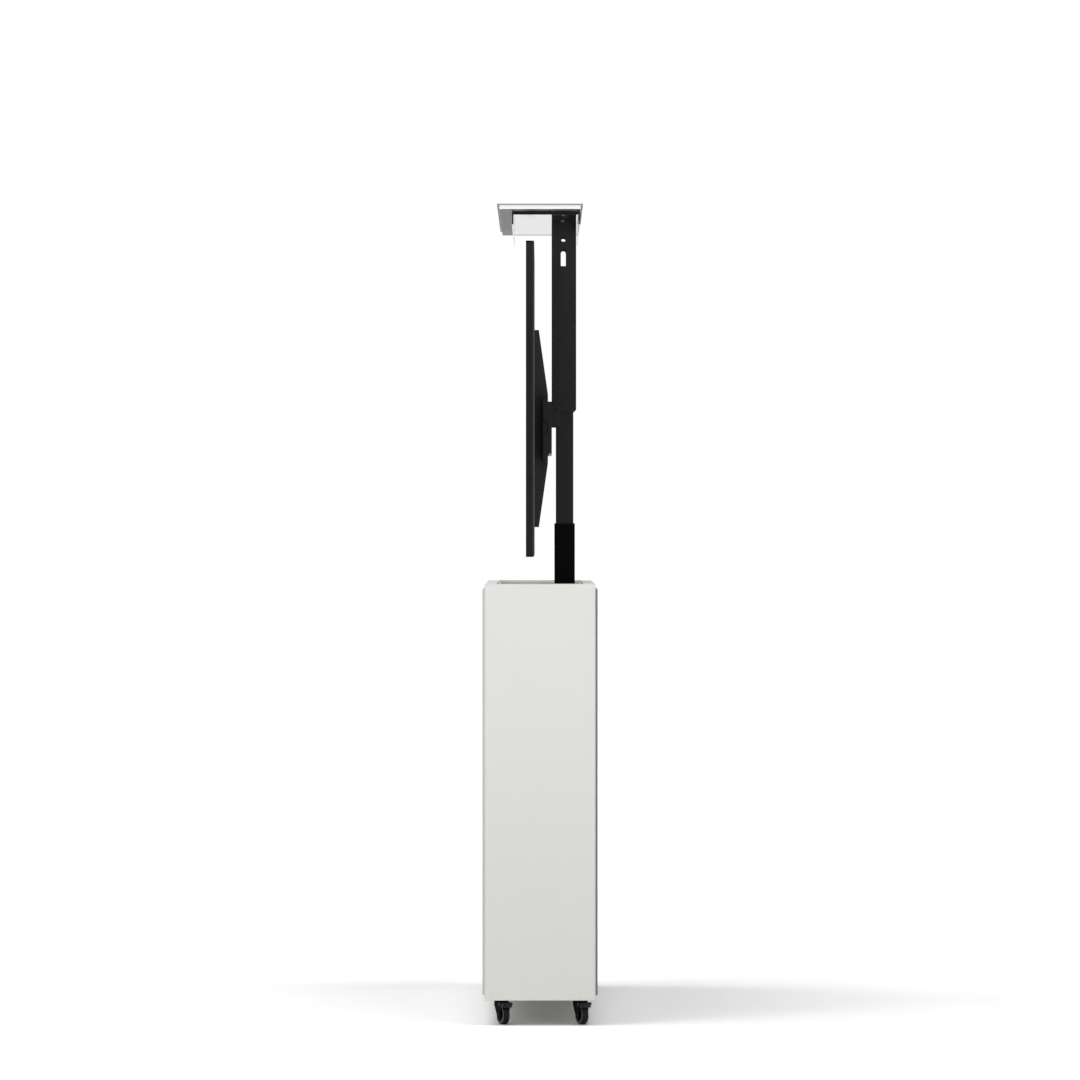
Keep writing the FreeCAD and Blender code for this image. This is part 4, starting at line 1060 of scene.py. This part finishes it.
def rear_skin(bm, box, holes, corner, turn):
    """The cover's pierced rear face, which turns down to the sides in a quarter round."""
    first, rear = len(bm.verts), box.y1 - COVER_SKIN
    rows = [(turn, rear), (0, rear)]
    rows += [(turn - across, box.y1 - turn + up) for across, up in arc((0, 0), turn, 0, 90, 4)]
    rings = []
    for inset, y in rows:
        loop = box.outline("xz", inset, corner - inset)
        rings.append([bm.verts.new(FACING_Y @ Vector((u, v, y))) for u, v in loop])
    for near, far in zip(rings, rings[1:]):
        joined(bm, near, far)
    plate(bm, loop, rear, box.y1, FACING_Y, holes, rim=False)
    bm.verts.ensure_lookup_table()
    bmesh.ops.remove_doubles(bm, verts=bm.verts[first:], dist=MM / 100)


def bezel():
    box, wide = Span("screen_bezel"), 6 * MM
    bm = plates((box.outline("xz", 0, settings("screen").corner), box.y0, box.y1, FACING_Y,
                 [box.outline("xz", wide)]))
    piece("screen_bezel_frame", bm, "shell", "lift_head", "screen_bezel", 0.5 * MM, 3)


def panel():
    box = Span("screen_glass")
    bm = plates((box.outline("xy"), box.z0, box.z1))
    piece("screen_glass_panel", bm, "panel", "lift_head", "screen_glass", 0.3 * MM)


class Screen(Undoable, bpy.types.Operator):
    """Back cover with its vents and sockets, bezel and panel"""

    bl_idname = "lift_cabinet.screen"
    bl_label = "Screen"

    def execute(self, context):
        return build(cover, bezel, panel)


# ---- castors ----
def wheel_of(place):
    """The wheel's middle and the direction of its axle."""
    joint = JOINTS[f"wheel_spin_{place}"]
    return Vector(joint["pos_m"]), Vector(joint["axis"]).normalized()


def mirrored(line):
    """A section and its reflection in the middle of a wheel."""
    return line + [(radius, -height) for radius, height in reversed(line)]


def wheel(place):
    """A tyre with round shoulders, and a hub with six spokes on each side."""
    node, body, half = f"castor_wheel_{place}", f"wheel_{place}", 9 * MM
    centre, axis = wheel_of(place)
    radius, soft = centre.z, settings("castor").tread_round
    rim, bore, hub = radius - 7 * MM, 3.05 * MM, 8 * MM
    shoulder = arc((radius - soft, half - soft), soft, 90, 0, 6)
    tyre = [(rim, half - 0.4 * MM), (rim + 0.6 * MM, half), *shoulder]
    bm = bmesh.new()
    turned(bm, mirrored(tyre), centre, axis, 72, closed=True)
    paint(bm, lambda face: abs(face.normal.dot(axis)) > 0.8)
    piece(f"castor_tread_{place}", bm, ("rubber", "wheel_side"), body, node)
    side, web, proud = half - 0.2 * MM, half - 3.5 * MM, half + 0.6 * MM
    disc = [(bore, proud), (hub - 0.8 * MM, proud), (hub, half), (hub, web),
            (rim - 2.4 * MM, web), (rim - 1.6 * MM, side), (rim - 0.05 * MM, side)]
    bm = bmesh.new()
    turned(bm, mirrored(disc), centre, axis, 72, closed=True)
    spoke = rectangle((hub - 0.5 * MM, -MM), (rim - 2 * MM, MM))
    across = Matrix.Translation(centre) @ axis.to_track_quat("Z", "Y").to_matrix().to_4x4()
    for turn in range(0, 360, 60):
        lay = across @ Matrix.Rotation(math.radians(turn), 4, "Z")
        for low, high in ((0.6 * MM - side, -web), (web, side - 0.6 * MM)):
            plate(bm, spoke, low, high, lay)
    piece(f"castor_hub_{place}", bm, "plastic", body, node)


def axle(place):
    half = 13.4 * MM
    ends = mirrored([(0, half + 0.6 * MM), (2.2 * MM, half + 0.6 * MM), (3 * MM, half + 0.1 * MM)])
    bm = bmesh.new()
    turned(bm, ends[::-1], *wheel_of(place), 28)
    piece(f"castor_axle_{place}_pin", bm, "screw", f"castor_{place}", f"castor_axle_{place}")


def pedal(place):
    """Two arms from the pivot and a foot pad with ribs on top and an eyelet in front."""
    outer, inner, overlap = 16.9 * MM, 13.75 * MM, 0.01 * MM
    root, tip, top = 32.5, 48.4, 58.8
    pad = mm((root, 56.8), (root, 50), (root + 3.5, 45), (tip - 7.4, 45), (tip - 1.2, 56), (tip - 1.2, 56.8))
    tread = mm((root, 56.7), (tip - 1, 56.7), (tip, 57.6), (tip - 0.8, top - 0.7), (root, top - 0.7))
    pivot, pin = (Vector(JOINTS[f"{kind}_{place}"]["pos_m"]) for kind in ("swivel", "brake"))
    trail = (wheel_of(place)[0] - pivot).normalized()
    trail = Vector((*trail.xy, 0)).normalized()
    pivot.z = 0
    lay = Matrix.Translation(pivot) @ Matrix((trail, UP, UP.cross(trail))).transposed().to_4x4()
    hinge = ((pin - pivot).dot(trail), pin.z)
    arm = arc(hinge, 3.5 * MM, 100, 260, 8) + mm((root + 1, 49.5), (root + 1, 57))
    bm = bmesh.new()
    plate(bm, pad, -inner, inner, lay)
    for low, high in ((-outer, overlap - inner), (inner - overlap, outer)):
        plate(bm, arm, low, high, lay, [circle(hinge, 1.7 * MM, 16)])
    spot = lay @ Vector(((tip - 4) * MM, 51 * MM, -9.5 * MM))
    facing = lay.to_3x3() @ Vector((11.5, -6.2, 0)).normalized()
    turned(bm, mm((3.4, -1), (3.4, 0.5), (3, 0.9), (2.4, 0.9), (2.2, 0.5), (2.2, -1)), spot, facing, 28,
           closed=True)
    before = set(bm.faces)
    turned(bm, mm((0, -0.6), (2.25, -0.6), (2.25, 0.15), (0, 0.15)), spot, facing, 28)
    plate(bm, tread, -inner - MM, inner + MM, lay)
    for rib in range(4):
        start = root + 3 + 3.2 * rib
        plate(bm, rectangle(*mm((start, top - 1), (start + 1.3, top))), MM - inner, inner - MM, lay)
    # The tread, its ribs and the plug in the eyelet take the dark hood plastic; the tread's dark top band is
    # partly painted shade under the pad's lip.
    paint(bm, lambda face: face not in before)
    piece(f"brake_pedal_{place}_foot", bm, ("pedal", "hood"), f"pedal_{place}", f"brake_pedal_{place}",
          0.3 * MM)


def castors():
    for place in PLACES:
        dress(settings("castor").hood_round, 3, **{f"castor_housing_{place}": "hood"})
        pedal(place)
        wheel(place)
        axle(place)


def stems():
    box = Span("castor_stems")
    thread, thick = 14 * MM, 2.5 * MM
    flange_z = box.z1 - thread - thick
    neck = flange_z - box.z0
    bm = bmesh.new()
    for place in PLACES:
        x, y = JOINTS[f"swivel_{place}"]["pos_m"][:2]
        turned(bm, mm((0, 0), (12.4, 0), (13, 0.6), (13, 1.9), (12.4, 2.5), (0, 2.5)),
               (x, y, flange_z), UP, 40)
        turned(bm, [*mm((0, 0), (3.4, 0), (4, 0.6)), (4 * MM, neck), (0, neck)], (x, y, box.z0), UP, 28)
        threaded(bm, (x, y, flange_z + thick), 5 * MM, thread, 1.5 * MM, 0.9 * MM, 28)
    piece("castor_stem_set", bm, "steel", "cabinet", "castor_stems")


class Castors(Undoable, bpy.types.Operator):
    """Four braked castors: hood, wheel, axle and pedal, and the threaded stems"""

    bl_idname = "lift_cabinet.castors"
    bl_label = "Castors"

    def execute(self, context):
        return build(castors, stems)


# ---- studio ----
def camera():
    s, scene = settings("studio"), bpy.context.scene
    scene.view_settings.view_transform = "Standard"
    data = bpy.data.cameras.new("camera")
    data.lens, data.sensor_width, data.clip_end = s.lens, 36, 400
    scene.camera = placed("camera", data)
    scene.camera.location = (s.distance, 0, s.eye_height)
    scene.camera.rotation_euler = (math.radians(90), 0, math.radians(90))


def seen(tree):
    """1 where a surface or the world is looked at, mirrored or seen through glass, 0 where it lights."""
    path = tree.nodes.new("ShaderNodeLightPath")
    total = path.outputs["Is Camera Ray"]
    for ray in ("Is Glossy Ray", "Is Transmission Ray"):
        both = add(tree, "ShaderNodeMath", operation="MAXIMUM")
        tree.links.new(total, both.inputs[0])
        tree.links.new(path.outputs[ray], both.inputs[1])
        total = both.outputs[0]
    return total


def world():
    made = bpy.data.worlds.new("studio")
    tree = cleared(made)
    strength = remap(tree, seen(tree), settings("studio").ambient, 1.0)
    back = add(tree, "ShaderNodeBackground", Color=(1, 1, 1, 1), Strength=strength)
    add(tree, "ShaderNodeOutputWorld", Surface=back.outputs[0])
    bpy.context.scene.world = made


def floor():
    s = settings("studio")
    look = bpy.data.materials.new("studio_floor")
    tree = cleared(look)
    white = mixed(tree, seen(tree), [s.floor_bounce] * 3, [s.floor_seen] * 3)
    matte = add(tree, "ShaderNodeBsdfDiffuse", Color=white)
    add(tree, "ShaderNodeOutputMaterial", Surface=matte.outputs[0])
    corners = rectangle([-s.floor_half] * 2, [s.floor_half] * 2)
    mesh = bpy.data.meshes.new("studio_floor")
    mesh.from_pydata([(*corner, 0) for corner in corners], [], [(0, 1, 2, 3)])
    mesh.materials.append(look)
    placed("studio_floor", mesh)


def aim(name, data, place, target):
    made = placed(name, data)
    made.location = place
    made.rotation_euler = (target - place).to_track_quat("-Z", "Y").to_euler()
    made.visible_camera = False


# Far lamps: their share of the light, how far to the side for each metre up, and their spread.
SOFTBOXES = {"rear": (0.35, (0.15, 0.30), 20), "front": (0.28, (0.15, -0.30), 20),
             "top": (0.18, (-0.15, -0.15), 34), "low": (0.13, (-0.15, -0.75), 20),
             "corner": (0.06, (1.05, -1.20), 20)}


def lamps():
    """Far lamps that light a level floor to a level, and two softboxes that face the cabinet's end."""
    s = settings("studio")
    for name, (level, slope, spread) in SOFTBOXES.items():
        toward = Vector((*slope, 1))
        data = bpy.data.lights.new(f"{name}_softbox", "SUN")
        data.energy = level * s.softboxes * math.pi / toward.normalized().z
        data.angle = math.radians(spread)
        aim(data.name, data, toward * 10, Vector())
    for name, watts, size, place in (("end_fill", s.end_fill, (3.0, 0.5), (2.0, 0, 1.08)),
                                     ("lid_fill", s.lid_fill, (0.5, 0.1), (1.6, 0, 2.14))):
        data = bpy.data.lights.new(name, "AREA")
        data.shape, data.energy = "RECTANGLE", watts
        data.size, data.size_y = size
        aim(name, data, Vector(place), Vector((0, 0, place[2])))


class Studio(Undoable, bpy.types.Operator):
    """Floor, world, lamps and camera"""

    bl_idname = "lift_cabinet.studio"
    bl_label = "Studio"

    def execute(self, context):
        return build(camera, world, floor, lamps)


# ---- panel and registration ----
OPERATORS = (Studio, SidePanels, TopFrame, Boards, Facings, Services, ColumnTubes, LeadScrews, Drive,
             HeadSleeve, Lid, Tray, Carrier, Fasteners, Screen, Castors)


class CabinetPanel(bpy.types.Panel):
    """Buttons for each group of pieces, with the sizes and colours they use"""

    bl_idname = "VIEW3D_PT_lift_cabinet"
    bl_label = "Lift Cabinet"
    bl_space_type = "VIEW_3D"
    bl_region_type = "UI"
    bl_category = "Lift Cabinet"

    def draw(self, context):
        for operator in OPERATORS:
            self.layout.operator(operator.bl_idname)
        for group in LiftCabinetSettings.__annotations__:
            box = self.layout.box()
            box.label(text=group.capitalize())
            for name in settings(group).__annotations__:
                box.prop(settings(group), name)


CLASSES = (CabinetSettings, LiftSettings, ScreenSettings, CastorSettings, StudioSettings,
           LiftCabinetSettings, *OPERATORS, CabinetPanel)


def register():
    for made in CLASSES:
        bpy.utils.register_class(made)
    bpy.types.Scene.lift_cabinet = PointerProperty(type=LiftCabinetSettings)


def unregister():
    del bpy.types.Scene.lift_cabinet
    for made in reversed(CLASSES):
        bpy.utils.unregister_class(made)


def main():
    register()
    for operator in OPERATORS:
        group, name = operator.bl_idname.split(".")
        getattr(getattr(bpy.ops, group), name)()


if __name__ == "__main__":
    main()
